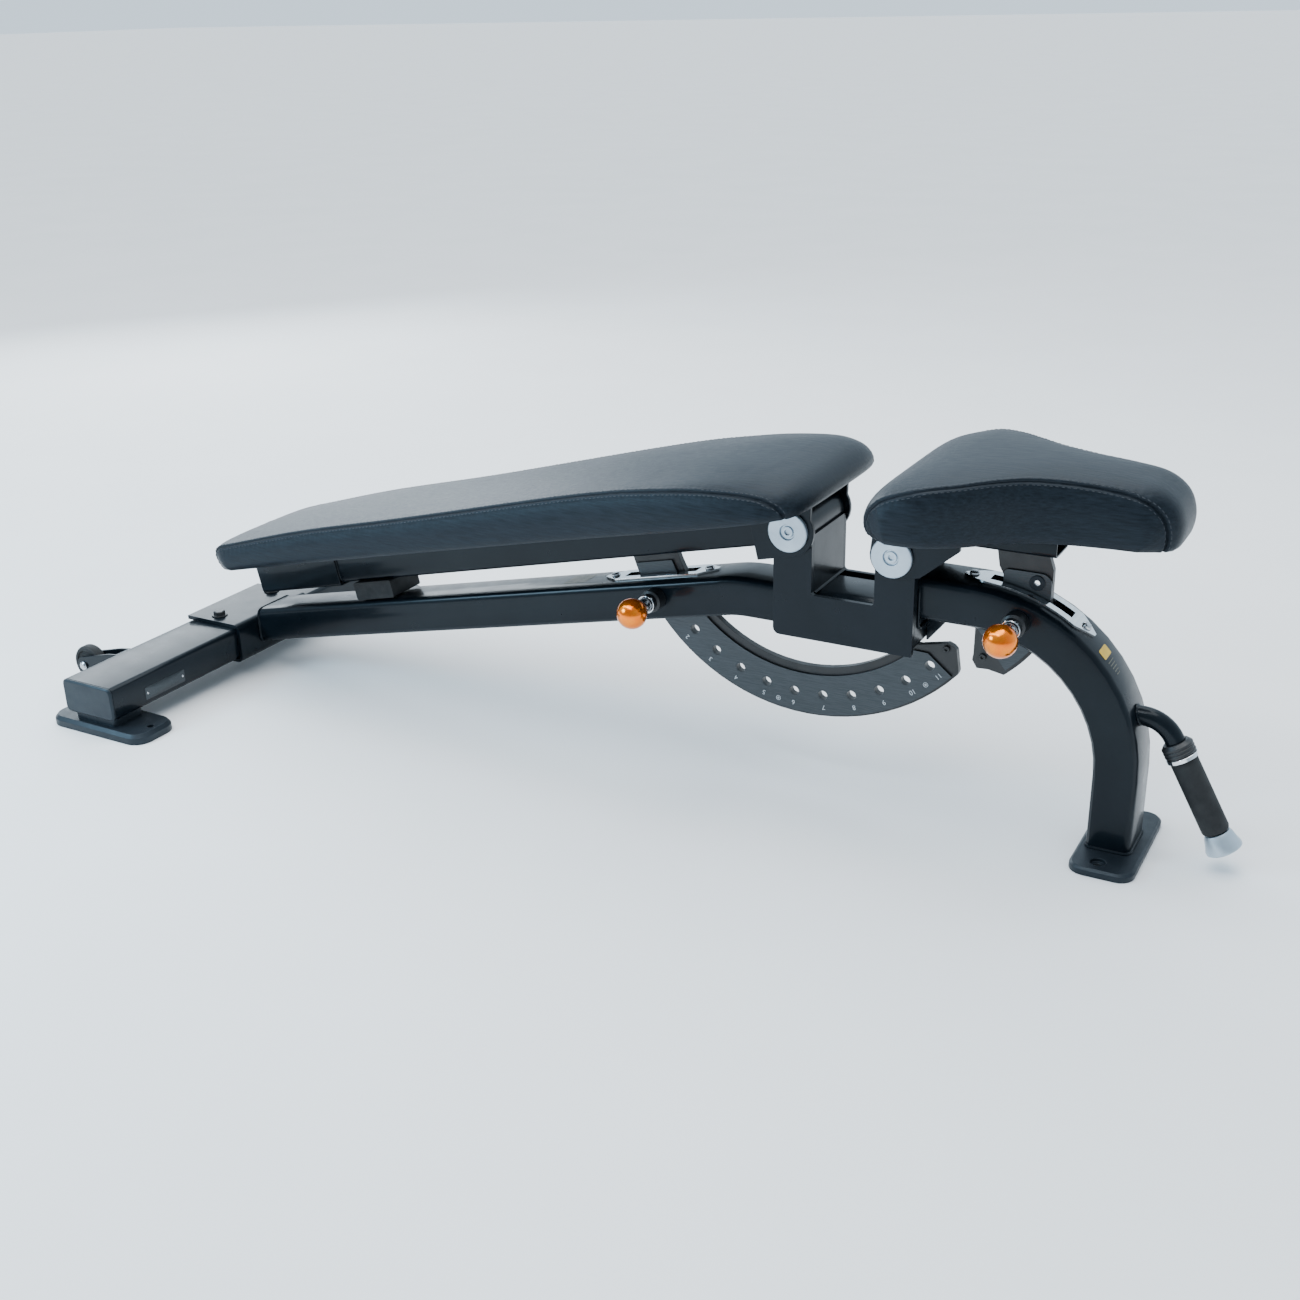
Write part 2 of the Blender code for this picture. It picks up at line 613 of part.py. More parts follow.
def make_trim(name, stations, slot, screws, bench):
    """A thin pointed cover round a slot, with two button screws."""
    rings = []
    for x, z, up_x, up_z, half in stations:
        low = TUBE_HEIGHT / 2 + GAP
        high = low + TRIM_THICK
        rings.append([(x + up * up_x, y, z + up * up_z)
                      for y, up in ((-half, low), (half, low), (half, high), (-half, high))])
    trim = stack(name, rings, "polished", bench)
    cut(trim, slot)
    for label, (x, z, up_x, up_z) in screws:
        top = TUBE_HEIGHT / 2 + TRIM_THICK + 2 * GAP
        profile = [(0, top - 0.0028), (0.0028, top - 0.0028), (0.0028, top), (0.0060, top),
                   (0.0056, top + 0.0018), (0.0040, top + 0.0032), (0, top + 0.0036)]
        turned(name.replace("slot_trim", "trim_screw_") + label, profile, (x, 0, z),
               (up_x, 0, up_z), "zinc", bench, ROUND_SMALL)
        hole_profile = [(0, 0.018), (0.0031, 0.018), (0.0031, 0.04), (0, 0.04)]
        cut(trim, turned("cutter_%s_%s" % (name, label), hole_profile, (x, 0, z),
                         (up_x, 0, up_z), "black_steel", bench, ROUND_SMALL))


def make_trims(bench):
    """The covers of both top slots."""
    a = SPINE_SLOPE
    up = (-math.sin(a), math.cos(a))

    def on_spine(x):
        shift = TUBE_HEIGHT / 2 * math.sin(a)
        return (*spine_point(x + shift, 0), *up)

    x0, x1 = BACK_TRIM
    ends = [(x0, TRIM_TIP_HALF), (x0 + 0.022, TRIM_HALF), (x1 - 0.022, TRIM_HALF),
            (x1, TRIM_TIP_HALF)]
    stations = [(*on_spine(x), half) for x, half in ends]
    lift = 0.030 * math.sin(a)
    near = [spine_point(BACK_SLOT_TOP[0], 0), spine_point(BACK_SLOT_TOP[1], 0)]
    far = [spine_point(BACK_SLOT_TOP[0] + lift, 0.030), spine_point(BACK_SLOT_TOP[1] + lift, 0.030)]
    slot = slot_cutter("cutter_back_trim", near, far, bench)
    screws = [(label, on_spine(x)) for label, x in zip(("rear", "front"), BACK_TRIM_SCREWS)]
    cut_screw_holes_in_wall("rear_spine", screws)
    make_trim("back_slot_trim", stations, slot, screws, bench)

    level = LEG_ARC_Z + LEG_ARC_RADIUS
    stations = [(SEAT_TRIM_START, level, 0.0, 1.0, TRIM_TIP_HALF),
                (LEG_ARC_X, level, 0.0, 1.0, 0.014)]
    steps = 12
    for i in range(1, steps + 1):
        angle = SEAT_TRIM_END * i / steps
        from_end = (SEAT_TRIM_END - angle) * LEG_ARC_RADIUS
        half = min(TRIM_HALF, TRIM_TIP_HALF + 0.8 * from_end)
        half = min(half, 0.014 + 0.4 * angle * LEG_ARC_RADIUS)
        stations.append((*leg_point(angle, 0), math.sin(angle), math.cos(angle), half))
    turns = [SEAT_SLOT_TOP[0] + (SEAT_SLOT_TOP[1] - SEAT_SLOT_TOP[0]) * i / 5 for i in range(6)]
    slot = slot_cutter("cutter_seat_trim", [leg_point(angle, 0) for angle in turns],
                       [leg_point(angle, 0.032) for angle in turns], bench)
    turn = SEAT_TRIM_SCREW_ANGLE
    screws = [("rear", (SEAT_TRIM_SCREW, level, 0.0, 1.0)),
              ("front", (*leg_point(turn, 0), math.sin(turn), math.cos(turn)))]
    cut_screw_holes_in_wall("front_leg", screws)
    make_trim("seat_slot_trim", stations, slot, screws, bench)


def cut_screw_holes_in_wall(tube_name, screws):
    """Tapped holes under the trim screws."""
    tube = bpy.data.objects[tube_name]
    for label, (x, z, up_x, up_z) in screws:
        profile = [(0, 0.018), (0.0031, 0.018), (0.0031, 0.032), (0, 0.032)]
        cut(tube, turned("cutter_%s_%s" % (tube_name, label), profile, (x, 0, z),
                         (up_x, 0, up_z), "black_steel", tube.parent, ROUND_SMALL))


# ---------------------------------------------------------------- pull pins
PIN_SLEEVE_RADIUS = 0.0105
HOUSING_RADIUS = 0.0140
HOUSING_END = 0.060                   # how far the housing stands off the middle plane
KNOB_END = 0.113


def back_pin_spot():
    """X and Z of the backrest's pull pin."""
    return polar(BACK_PIVOT, BACK_HOLE_CIRCLE, BACK_PIN_ANGLE)


def seat_pin_spot():
    """X and Z of the seat's pull pin."""
    return polar(SEAT_PIVOT, SEAT_HOLE_CIRCLE, math.pi / 2 - SEAT_PIN_ANGLE)


def make_pull_pin(name, spot, bench):
    """A threaded housing in the tube wall, a sliding pin with a collar, and a round knob."""
    x, z = spot
    wall = -TUBE_WIDTH / 2 - GAP
    bore = PIN_RADIUS + GAP
    housing = [(bore, -HOUSING_END), (HOUSING_RADIUS - 0.003, -HOUSING_END),
               (HOUSING_RADIUS - 0.003, -HOUSING_END + 0.008),
               (HOUSING_RADIUS, -HOUSING_END + 0.010), (HOUSING_RADIUS, wall),
               (PIN_SLEEVE_RADIUS, wall), (PIN_SLEEVE_RADIUS, -0.012), (bore, -0.012)]
    across(name + "_housing", housing, x, z, "black_steel", bench, 24)

    axis = empty(name + "_axis", (x, 0, z), bench)
    collar = -HOUSING_END - 0.0005
    pin = [(0, PIN_TIP_Y), (PIN_RADIUS - 0.001, PIN_TIP_Y), (PIN_RADIUS, PIN_TIP_Y - 0.002),
           (PIN_RADIUS, collar), (0.0085, collar), (0.0095, collar - 0.003),
           (0.0095, collar - 0.012), (0.0080, collar - 0.016), (0.0055, collar - 0.018),
           (0.0055, -KNOB_END + 0.012), (0, -KNOB_END + 0.012)]
    across(name, pin, 0, 0, "zinc", axis, ROUND_SMALL)

    knob_back = collar - 0.0185
    depth = KNOB_END + knob_back
    profile = [(0, -KNOB_END + 0.0117), (0.0058, -KNOB_END + 0.0117), (0.0058, knob_back),
               (0.0110, knob_back), (0.0150, knob_back - 0.10 * depth)]
    for i in range(1, 9):
        turn = math.radians(-18 + 13.5 * i)
        profile.append((KNOB_RADIUS * math.cos(turn),
                        -KNOB_END + 0.55 * depth * (1 - math.sin(turn))))
    profile.append((0, -KNOB_END))
    across(name + "_knob", profile, 0, 0, "orange", axis, 24)


# ---------------------------------------------------------------- moving frames
def lug_channel(name, outline, top, thick, parent):
    """An inverted U of two lugs and a top plate, its side view trimmed to an outline."""
    outer = LUG_INNER + LUG_THICK
    section = [(-outer, -0.08), (-LUG_INNER, -0.08), (-LUG_INNER, top - thick),
               (LUG_INNER, top - thick), (LUG_INNER, -0.08), (outer, -0.08), (outer, top),
               (-outer, top)]
    ends = (-0.12, 0.12)
    channel = stack(name, [[(x, y, z) for y, z in section] for x in ends], "paint", parent)
    shape = side_prism("cutter_" + name, outline, (-0.07, 0.07), "black_steel", parent)
    cut(channel, shape, operation="INTERSECT")
    drill(channel, [(0, 0)], AXLE_RADIUS + GAP, (-0.08, 0.08), parent, 24)
    return channel


def open_nose(channel, x, parent):
    """Cut the top plate back from a point on, so that the column's top can pass between the lugs."""
    outline = box_outline((x, -0.08), (x + 0.1, 0.08))
    span = (-LUG_INNER, LUG_INNER)
    cut(channel, side_prism("cutter_nose_" + channel.name, outline, span, "black_steel", parent))


def make_pivot_hardware(name, parent):
    """The axle with its left-hand disc head, and the right-hand disc."""
    outer = LUG_INNER + LUG_THICK + GAP
    rim = outer + DISC_THICK
    axle = [(0, -outer + GAP), (AXLE_RADIUS, -outer + GAP), (AXLE_RADIUS, outer),
            (DISC_RADIUS, outer), (DISC_RADIUS, rim - 0.001), (DISC_RADIUS - 0.001, rim),
            (0.0085, rim), (0.0075, rim - 0.002), (0, rim - 0.002)]
    across(name + "_axle", axle, 0, 0, "aluminium", parent)
    disc = [(0, -outer), (DISC_RADIUS, -outer), (DISC_RADIUS, -rim + 0.001),
            (DISC_RADIUS - 0.001, -rim), (0.0095, -rim), (0.0085, -rim + 0.0025),
            (0.0070, -rim + 0.0025), (0.0066, -rim + 0.0006), (0.0036, -rim + 0.0006),
            (0.0030, -rim + 0.0030), (0, -rim + 0.0030)]
    across(name + "_disc", disc, 0, 0, "aluminium", parent)


def frame_tube(name, x_range, z_range, width, parent):
    """A straight hollow rectangular tube along X."""
    middle = (z_range[0] + z_range[1]) / 2
    height = z_range[1] - z_range[0]
    wall = 0.0025
    outer = rounded_rectangle(width, height, 0.006)
    inner = rounded_rectangle(width - 2 * wall, height - 2 * wall, 0.0035)
    stations = [(x_range[0], middle, 0.0, 1.0), (x_range[1], middle, 0.0, 1.0)]
    return sweep(name, stations, outer, "paint", parent, inner)


def pad_outline(stations, inset):
    """Plan outline of a pad from (x, half width) stations, drawn in by an inset."""
    first, last = stations[0][0] + inset, stations[-1][0] - inset
    one_side = [(min(max(x, first), last), half - inset) for x, half, top in stations]
    return one_side + [(x, -y) for x, y in reversed(one_side)]


def make_pad(name, stations, bottom, parent):
    """A plain closed cushion: a crowned section carried along X."""
    rings = []
    for x, half, top in stations:
        round_off = min(0.016, 0.6 * (top - bottom))
        side = [(half, bottom), (half, top - round_off),
                (half - 0.3 * round_off, top - 0.3 * round_off), (half - round_off, top),
                (half * 0.45, top + CROWN)]
        shape = side + [(-y, z) for y, z in reversed(side)]
        rings.append([(x, y, z) for y, z in shape])
    return stack(name, rings, "vinyl", parent)


# x from the axle, half width, top above the axle
BACK_PAD = [(-0.871, 0.100, 0.054), (-0.866, 0.107, 0.060), (-0.850, 0.111, 0.064),
            (-0.690, 0.110, 0.071), (-0.510, 0.113, 0.0745), (-0.300, 0.120, 0.0795),
            (-0.150, 0.130, 0.0820), (-0.060, 0.134, 0.0810), (0.000, 0.134, 0.0755),
            (0.030, 0.132, 0.065), (0.046, 0.126, 0.053), (0.054, 0.117, 0.044)]
SEAT_PAD = [(-0.009, 0.118, 0.066), (-0.003, 0.132, 0.078), (0.010, 0.139, 0.088),
            (0.030, 0.141, 0.095), (0.060, 0.136, 0.102), (0.090, 0.119, 0.106),
            (0.120, 0.090, 0.108), (0.150, 0.069, 0.1085), (0.190, 0.060, 0.107),
            (0.231, 0.055, 0.103), (0.262, 0.052, 0.096), (0.280, 0.047, 0.085),
            (0.288, 0.040, 0.072)]


def make_backrest(pivot):
    """Everything that turns about the backrest axle, modelled flat."""
    low = -0.0305
    corner = 0.047
    outline = arc((0, 0), 0.0305, math.radians(-80), math.radians(20), 8)
    outline += [(0.034, BACK_UNDERSIDE - GAP), (-corner, BACK_UNDERSIDE - GAP), (-corner, low)]
    channel = lug_channel("backrest_channel", outline, BACK_UNDERSIDE - GAP, 0.0055, pivot)
    open_nose(channel, 0.0, pivot)
    frame_tube("backrest_tube", (-BACK_HEAD + 0.002, -0.033), BACK_TUBE_Z, BACK_TUBE_WIDTH, pivot)
    make_head_sleeve(pivot)
    make_pivot_hardware("back_pivot", pivot)

    gap_z = BACK_TUBE_Z[0] - GAP
    top_outer = -math.acos(-gap_z / BACK_SECTOR_OUTER)
    top_inner = -math.acos(-gap_z / BACK_SECTOR_INNER)
    travel = [0.0] + [BACK_FIRST_STEP + BACK_STEP * i for i in range(BACK_POSITIONS - 1)]
    holes = [polar((0, 0), BACK_HOLE_CIRCLE, BACK_PIN_ANGLE - DECLINE + t) for t in travel]
    last = BACK_PIN_ANGLE - DECLINE + travel[-1]
    steps = 30

    def band(inner, outer, end, start_inner, start_outer):
        outside = [polar((0, 0), outer, start_outer + (end - start_outer) * i / steps)
                   for i in range(steps + 1)]
        inside = [polar((0, 0), inner, start_inner + (end - start_inner) * i / steps)
                  for i in range(steps + 1)]
        return outside, inside

    outside, _ = band(BACK_SECTOR_INNER, BACK_SECTOR_OUTER, last + math.radians(4.2), top_inner,
                      top_outer)
    _, inside = band(BACK_SECTOR_INNER, BACK_SECTOR_OUTER, last - math.radians(1.0), top_inner,
                     top_outer)
    stop_lug = [(0.248, 5.2), (0.229, 9.6), (0.224, 9.8), (0.217, 9.4), (0.196, 2.0)]
    tip = [polar((0, 0), radius, last + math.radians(beyond)) for radius, beyond in stop_lug]
    carrier = side_prism("backrest_sector", outside + tip + inside[::-1], CARRIER_Y,
                         "black_steel", pivot)
    drill(carrier, holes, HOLE_RADIUS, (-0.02, 0.02), pivot, 16)

    face_z = BACK_TUBE_Z[0] - 0.012
    start_outer = -math.acos(-face_z / (BACK_SECTOR_OUTER - 0.003))
    start_inner = -math.acos(-face_z / (BACK_SECTOR_INNER + 0.010))
    outside, inside = band(BACK_SECTOR_INNER + 0.010, BACK_SECTOR_OUTER - 0.003,
                           last + math.radians(2.9), start_inner, start_outer)
    corner = polar((0, 0), BACK_SECTOR_INNER + 0.023, last + math.radians(2.4))
    face = side_prism("backrest_sector_face", outside + [corner] + inside[:-1][::-1], FACE_Y,
                      "brushed", pivot)
    drill(face, holes, HOLE_RADIUS, (-0.02, 0.02), pivot, 16)

    block = box_outline((-0.695, -0.0487), (-0.628, BACK_TUBE_Z[0] - GAP))
    side_prism("backrest_rest_block", rounded(block, 0.003), (-0.030, 0.030), "rubber", pivot)

    board = pad_outline(BACK_PAD, 0.010)
    flat_prism("backrest_board", board, (BACK_UNDERSIDE, BACK_UNDERSIDE + BOARD_THICK), "plywood",
               pivot)
    make_pad("backrest_pad", BACK_PAD, BACK_UNDERSIDE + BOARD_THICK + GAP, pivot)


def make_head_sleeve(pivot):
    """The sleeve round the head end of the backrest tube that carries the board."""
    wall_side = 0.0035
    half = BACK_TUBE_WIDTH / 2 + GAP
    low, high = BACK_TUBE_Z[0] - GAP, BACK_TUBE_Z[1] + GAP
    top = BACK_UNDERSIDE - GAP
    outer = rounded(box_outline((-half - wall_side, low - 0.003), (half + wall_side, top)), 0.004)
    inner = rounded(box_outline((-half, low), (half, high)), 0.0035)
    ends = (-BACK_HEAD, -0.7195)
    rings = [[(x, y, z) for y, z in outer] for x in ends]
    rings += [[(x, y, z) for y, z in inner] for x in reversed(ends)]
    stack("backrest_head_sleeve", rings, "paint", pivot, closed_loop=True)


def make_seat(pivot):
    """Everything that turns about the seat axle."""
    top = SEAT_UNDERSIDE - GAP
    outline = arc((0, 0), 0.027, math.radians(180), math.radians(290), 8)
    outline += [(0.032, -0.021), (0.076, 0.016), (0.076, top), (-0.022, top)]
    lug_channel("seat_channel", outline, top, 0.0052, pivot)
    frame_tube("seat_tube", (0.031, 0.172), SEAT_TUBE_Z, 0.050, pivot)
    make_pivot_hardware("seat_pivot", pivot)

    def spot(radius, degrees_below):
        turn = math.radians(degrees_below)
        return (radius * math.cos(turn), -radius * math.sin(turn))

    sector_top = SEAT_TUBE_Z[0] - GAP
    front = SEAT_SECTOR_FRONT
    inner, outer = SEAT_SECTOR_INNER, SEAT_SECTOR_OUTER
    outline = [(front - 0.007, sector_top), (front, sector_top - 0.020)]
    outline += [spot(outer, 26 + 24 * i / 8) for i in range(9)]
    outline += [spot(0.170, 54), spot(0.163, 58), spot(0.152, 58), spot(0.146, 56)]
    outline += [spot(inner, 46 - 32 * i / 9) for i in range(10)]
    outline += [(0.105, -0.012), (0.101, sector_top)]
    carrier = side_prism("seat_sector", outline, CARRIER_Y, "black_steel", pivot)
    pin_below = math.degrees(SEAT_PIN_ANGLE)
    step = math.degrees(SEAT_STEP)
    holes = [spot(SEAT_HOLE_CIRCLE, pin_below + step * i) for i in range(SEAT_POSITIONS)]
    drill(carrier, holes, HOLE_RADIUS, (-0.02, 0.02), pivot, 16)
    sight = [spot(SEAT_HOLE_CIRCLE, 9.2)]
    drill_named(carrier, sight, 0.0078, "sight", pivot)

    top_corners = [(0.111, -0.030), (0.111, -0.013), (front, -0.013), (front, -0.060)]
    plate = rounded(top_corners, [0, 0.006, 0.012, 0], 5)
    plate += [spot(outer - 0.004, 26 + 22 * i / 8) for i in range(9)]
    plate += [spot(inner + 0.004, 46 - 28 * i / 8) for i in range(9)]
    face = side_prism("seat_sector_face", plate, FACE_Y, "brushed", pivot)
    drill(face, holes, HOLE_RADIUS, (-0.02, 0.02), pivot, 16)
    drill_named(face, sight, 0.0078, "sight", pivot)

    board = pad_outline(SEAT_PAD, 0.010)
    flat_prism("seat_board", board, (SEAT_UNDERSIDE, SEAT_UNDERSIDE + BOARD_THICK), "plywood",
               pivot)
    make_pad("seat_pad", SEAT_PAD, SEAT_UNDERSIDE + BOARD_THICK + GAP, pivot)


def drill_named(piece, spots, radius, label, parent):
    """Holes along Y of another size, under their own cutter names."""
    for x, z in spots:
        profile = [(0, -0.02), (radius, -0.02), (radius, 0.02), (0, 0.02)]
        name = "cutter_%s_%s" % (piece.name, label)
        cut(piece, across(name, profile, x, z, "black_steel", parent, ROUND_SMALL))


# ---------------------------------------------------------------- drag handle
def make_handle(bench):
    """A bent tube on the leg with a ribbed collar, a grip and a flared end cap."""
    outside = LEG_ARC_RADIUS + TUBE_HEIGHT / 2
    rise = math.asin((HANDLE_START_Z - LEG_ARC_Z) / outside)
    start_x = LEG_ARC_X + outside * math.cos(rise) + 2 * GAP
    stations = [(start_x, HANDLE_START_Z, -math.tan(rise), 1.0)]
    bend_x = start_x + 0.0045
    steps = 8
    for i in range(steps + 1):
        turn = HANDLE_DROP * i / steps
        stations.append((bend_x + HANDLE_BEND * math.sin(turn),
                         HANDLE_START_Z - HANDLE_BEND * (1 - math.cos(turn)),
                         math.sin(turn), math.cos(turn)))
    bend_end = stations[-1]
    along = (math.cos(HANDLE_DROP), 0, -math.sin(HANDLE_DROP))
    length = 0.116
    stations.append((bend_end[0] + along[0] * length, bend_end[1] + along[2] * length,
                     bend_end[2], bend_end[3]))
    circle = [(HANDLE_RADIUS * math.sin(2 * math.pi * i / 20),
               HANDLE_RADIUS * math.cos(2 * math.pi * i / 20)) for i in range(20)]
    sweep("handle_tube", stations, circle, "paint", bench)

    origin = (bend_end[0], 0, bend_end[1])
    bore = HANDLE_RADIUS + GAP
    collar = [(bore, 0.004), (0.0140, 0.004), (0.0165, 0.007)]
    for i in range(3):
        start = 0.007 + 0.004 * i
        collar += [(0.0175, start + 0.001), (0.0175, start + 0.003), (0.0165, start + 0.004)]
    collar += [(0.0170, 0.0205), (0.0170, 0.0245), (bore, 0.0245)]
    turned("handle_collar", collar, origin, along, "black_steel", bench)
    grip_start = 0.0245 + GAP
    grip_end = length - 0.0015
    grip = [(bore, grip_start), (GRIP_RADIUS - 0.001, grip_start), (GRIP_RADIUS, grip_start + 0.003),
            (GRIP_RADIUS, grip_end - 0.003), (GRIP_RADIUS - 0.001, grip_end), (bore, grip_end)]
    turned("handle_grip", grip, origin, along, "rubber", bench)
    cap = [(0, length + GAP), (0.0140, length + GAP), (0.0160, length + 0.004),
           (0.0180, length + 0.012), (0.0202, length + 0.018), (0.0202, length + 0.0210),
           (0.0180, length + 0.0225), (0, length + 0.0230)]
    turned("handle_end_cap", cap, origin, along, "aluminium", bench)


# ---------------------------------------------------------------- the whole bench
def build():
    """Clear the scene and make every piece."""
    for old in list(bpy.data.objects):
        bpy.data.objects.remove(old, do_unlink=True)
    bench = empty("bench", (-REAR_TO_ORIGIN, 0, 0))
    make_crossbar(bench)
    make_spine_and_leg(bench)
    make_columns(bench)
    make_trims(bench)
    make_pull_pin("back_pin", back_pin_spot(), bench)
    make_pull_pin("seat_pin", seat_pin_spot(), bench)
    make_handle(bench)
    backrest = empty("backrest_axis", (BACK_PIVOT[0], 0, BACK_PIVOT[1]), bench)
    backrest.rotation_euler = (0, -DECLINE, 0)
    make_backrest(backrest)
    seat = empty("seat_axis", (SEAT_PIVOT[0], 0, SEAT_PIVOT[1]), bench)
    make_seat(seat)


build()
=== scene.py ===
"""Looks of the adjustable weight bench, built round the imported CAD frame.

Metres, +Z up.  Pads are modelled in the frame of the joint they turn about: x along the bench,
y across it, z out of the cushion, with the origin on the axle.
"""
import json
import math
from itertools import accumulate

import bmesh
import bpy
from mathutils import Matrix, Vector
from mathutils.kdtree import KDTree


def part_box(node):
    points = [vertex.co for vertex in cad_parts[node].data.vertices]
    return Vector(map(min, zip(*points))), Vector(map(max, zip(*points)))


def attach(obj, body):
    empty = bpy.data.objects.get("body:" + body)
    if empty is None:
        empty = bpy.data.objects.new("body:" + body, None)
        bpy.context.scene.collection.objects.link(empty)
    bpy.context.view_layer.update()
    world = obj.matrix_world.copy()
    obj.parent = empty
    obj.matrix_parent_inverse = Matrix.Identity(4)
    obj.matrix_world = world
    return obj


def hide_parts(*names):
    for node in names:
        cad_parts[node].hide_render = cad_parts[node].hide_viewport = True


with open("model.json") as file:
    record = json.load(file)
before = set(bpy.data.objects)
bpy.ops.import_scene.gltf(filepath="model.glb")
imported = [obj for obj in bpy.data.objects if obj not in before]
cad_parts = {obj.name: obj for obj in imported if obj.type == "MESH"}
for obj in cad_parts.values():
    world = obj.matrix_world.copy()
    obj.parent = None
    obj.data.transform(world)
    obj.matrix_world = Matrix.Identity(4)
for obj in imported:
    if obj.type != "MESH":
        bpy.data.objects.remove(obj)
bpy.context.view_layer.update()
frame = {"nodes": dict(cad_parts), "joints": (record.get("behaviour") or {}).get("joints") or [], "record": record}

nodes = frame["nodes"]
joints = {joint["name"]: joint for joint in frame["joints"]}

MM = 0.001
TURN = 2 * math.pi
DECLINE = math.radians(13.0)          # of the backrest at rest
BACK_PIVOT = Vector(joints["backrest_hinge"]["pos_m"])
SEAT_PIVOT = Vector(joints["seat_hinge"]["pos_m"])
BACK_PLACE = Matrix.Translation(BACK_PIVOT) @ Matrix.Rotation(-DECLINE, 4, "Y")
SEAT_PLACE = Matrix.Translation(SEAT_PIVOT)


# ---------------------------------------------------------------- material building
class Finish:
    """A Principled material whose nodes are added one call at a time."""

    def __init__(self, name, **sockets):
        self.material = bpy.data.materials.new(name)
        self.material.use_nodes = True
        self.tree = self.material.node_tree
        self.shader = self.tree.nodes["Principled BSDF"]
        self.set(self.shader, sockets)
        self.coords = self.tree.nodes.new("ShaderNodeTexCoord").outputs["Object"]

    def set(self, node, values):
        """Set sockets by name; a value may be a number, a colour or another node's output."""
        for name, value in values.items():
            socket = node.inputs[name.replace("_", " ")]
            if isinstance(value, bpy.types.NodeSocket):
                self.tree.links.new(value, socket)
            elif isinstance(value, tuple) and len(value) == 3 and socket.type == "RGBA":
                socket.default_value = (*value, 1.0)
            else:
                socket.default_value = value

    def node(self, kind, output=0, settings=None, **sockets):
        """Add a node and return one of its outputs."""
        made = self.tree.nodes.new("ShaderNode" + kind)
        for name, value in (settings or {}).items():
            setattr(made, name, value)
        self.set(made, sockets)
        return made.outputs[output]

    def stretched(self, scale):
        """Object coordinates, scaled differently along each axis."""
        return self.node("Mapping", Vector=self.coords, Scale=scale)

    def noise(self, scale, detail=3.0, vector=None, roughness=0.55):
        """Fractal noise about 1 / scale metres across."""
        where = self.coords if vector is None else vector
        return self.node("TexNoise", Vector=where, Scale=scale, Detail=detail,
                         Roughness=roughness)

    def cells(self, scale, feature="DISTANCE_TO_EDGE"):
        """Voronoi cells, as in leather grain."""
        return self.node("TexVoronoi", "Distance", {"feature": feature}, Vector=self.coords,
                         Scale=scale)

    def between(self, value, low, high, from_low=0.3, from_high=0.7):
        """Rescale a texture to a range."""
        return self.node("MapRange", Value=value, From_Min=from_low, From_Max=from_high,
                         To_Min=low, To_Max=high)

    def blend(self, value, first, second, low=0.35, high=0.65):
        """Mix two colours by a texture."""
        ramp = self.tree.nodes.new("ShaderNodeValToRGB")
        ramp.color_ramp.elements[0].position = low
        ramp.color_ramp.elements[0].color = (*first, 1.0)
        ramp.color_ramp.elements[1].position = high
        ramp.color_ramp.elements[1].color = (*second, 1.0)
        self.tree.links.new(value, ramp.inputs["Fac"])
        return ramp.outputs["Color"]

    def bump(self, height, strength, distance, normal=None):
        """Turn a height into a normal."""
        extra = {} if normal is None else {"Normal": normal}
        return self.node("Bump", Height=height, Strength=strength, Distance=distance, **extra)

    def finish(self, **sockets):
        """Connect the last sockets and give the material back."""
        self.set(self.shader, sockets)
        return self.material


def powder_coat():
    """Blue-black gloss powder coat: orange peel, slight cloudiness, a clear top layer."""
    paint = Finish("powder_coat", Coat_Weight=0.20, Coat_Roughness=0.10, Specular_IOR_Level=0.12,
                   Specular_Tint=(0.74, 0.89, 1.0))
    cloud = paint.noise(9.0)
    peel = paint.noise(650.0, 2.0)
    return paint.finish(
        Base_Color=paint.blend(cloud, (0.0022, 0.0042, 0.0066), (0.0042, 0.0072, 0.0104)),
        Roughness=paint.between(paint.noise(38.0), 0.27, 0.36),
        Normal=paint.bump(peel, 0.16, 0.0004))


def black_paint():
    """Dull black sector steel."""
    paint = Finish("black_steel_paint", Specular_IOR_Level=0.5)
    return paint.finish(
        Base_Color=paint.blend(paint.noise(30.0), (0.006, 0.007, 0.008), (0.013, 0.014, 0.016)),
        Roughness=paint.between(paint.noise(60.0), 0.36, 0.50),
        Normal=paint.bump(paint.noise(900.0, 2.0), 0.2, 0.0003))


def brushed_steel():
    """Grey face plate brushed along the bench."""
    steel = Finish("brushed_face", Metallic=0.85)
    lines = steel.noise(1.0, 2.0, steel.stretched((60.0, 400.0, 2600.0)))
    return steel.finish(
        Base_Color=steel.blend(lines, (0.046, 0.053, 0.058), (0.072, 0.081, 0.088)),
        Roughness=steel.between(lines, 0.36, 0.52),
        Normal=steel.bump(lines, 0.12, 0.0002))


def polished_steel():
    """Mirror-polished stainless trim with faint rubbing marks."""
    steel = Finish("polished_trim", Metallic=1.0)
    marks = steel.noise(1.0, 2.0, steel.stretched((220.0, 30.0, 220.0)))
    return steel.finish(
        Base_Color=steel.blend(marks, (0.78, 0.80, 0.82), (0.90, 0.91, 0.92)),
        Roughness=steel.between(marks, 0.07, 0.16))


def turned_aluminium():
    """Pale satin aluminium."""
    metal = Finish("turned_aluminium", Metallic=0.75)
    return metal.finish(
        Base_Color=metal.blend(metal.noise(25.0), (0.42, 0.50, 0.57), (0.52, 0.60, 0.67)),
        Roughness=metal.between(metal.noise(500.0, 2.0), 0.32, 0.44),
        Normal=metal.bump(metal.noise(1400.0, 2.0), 0.15, 0.0002))


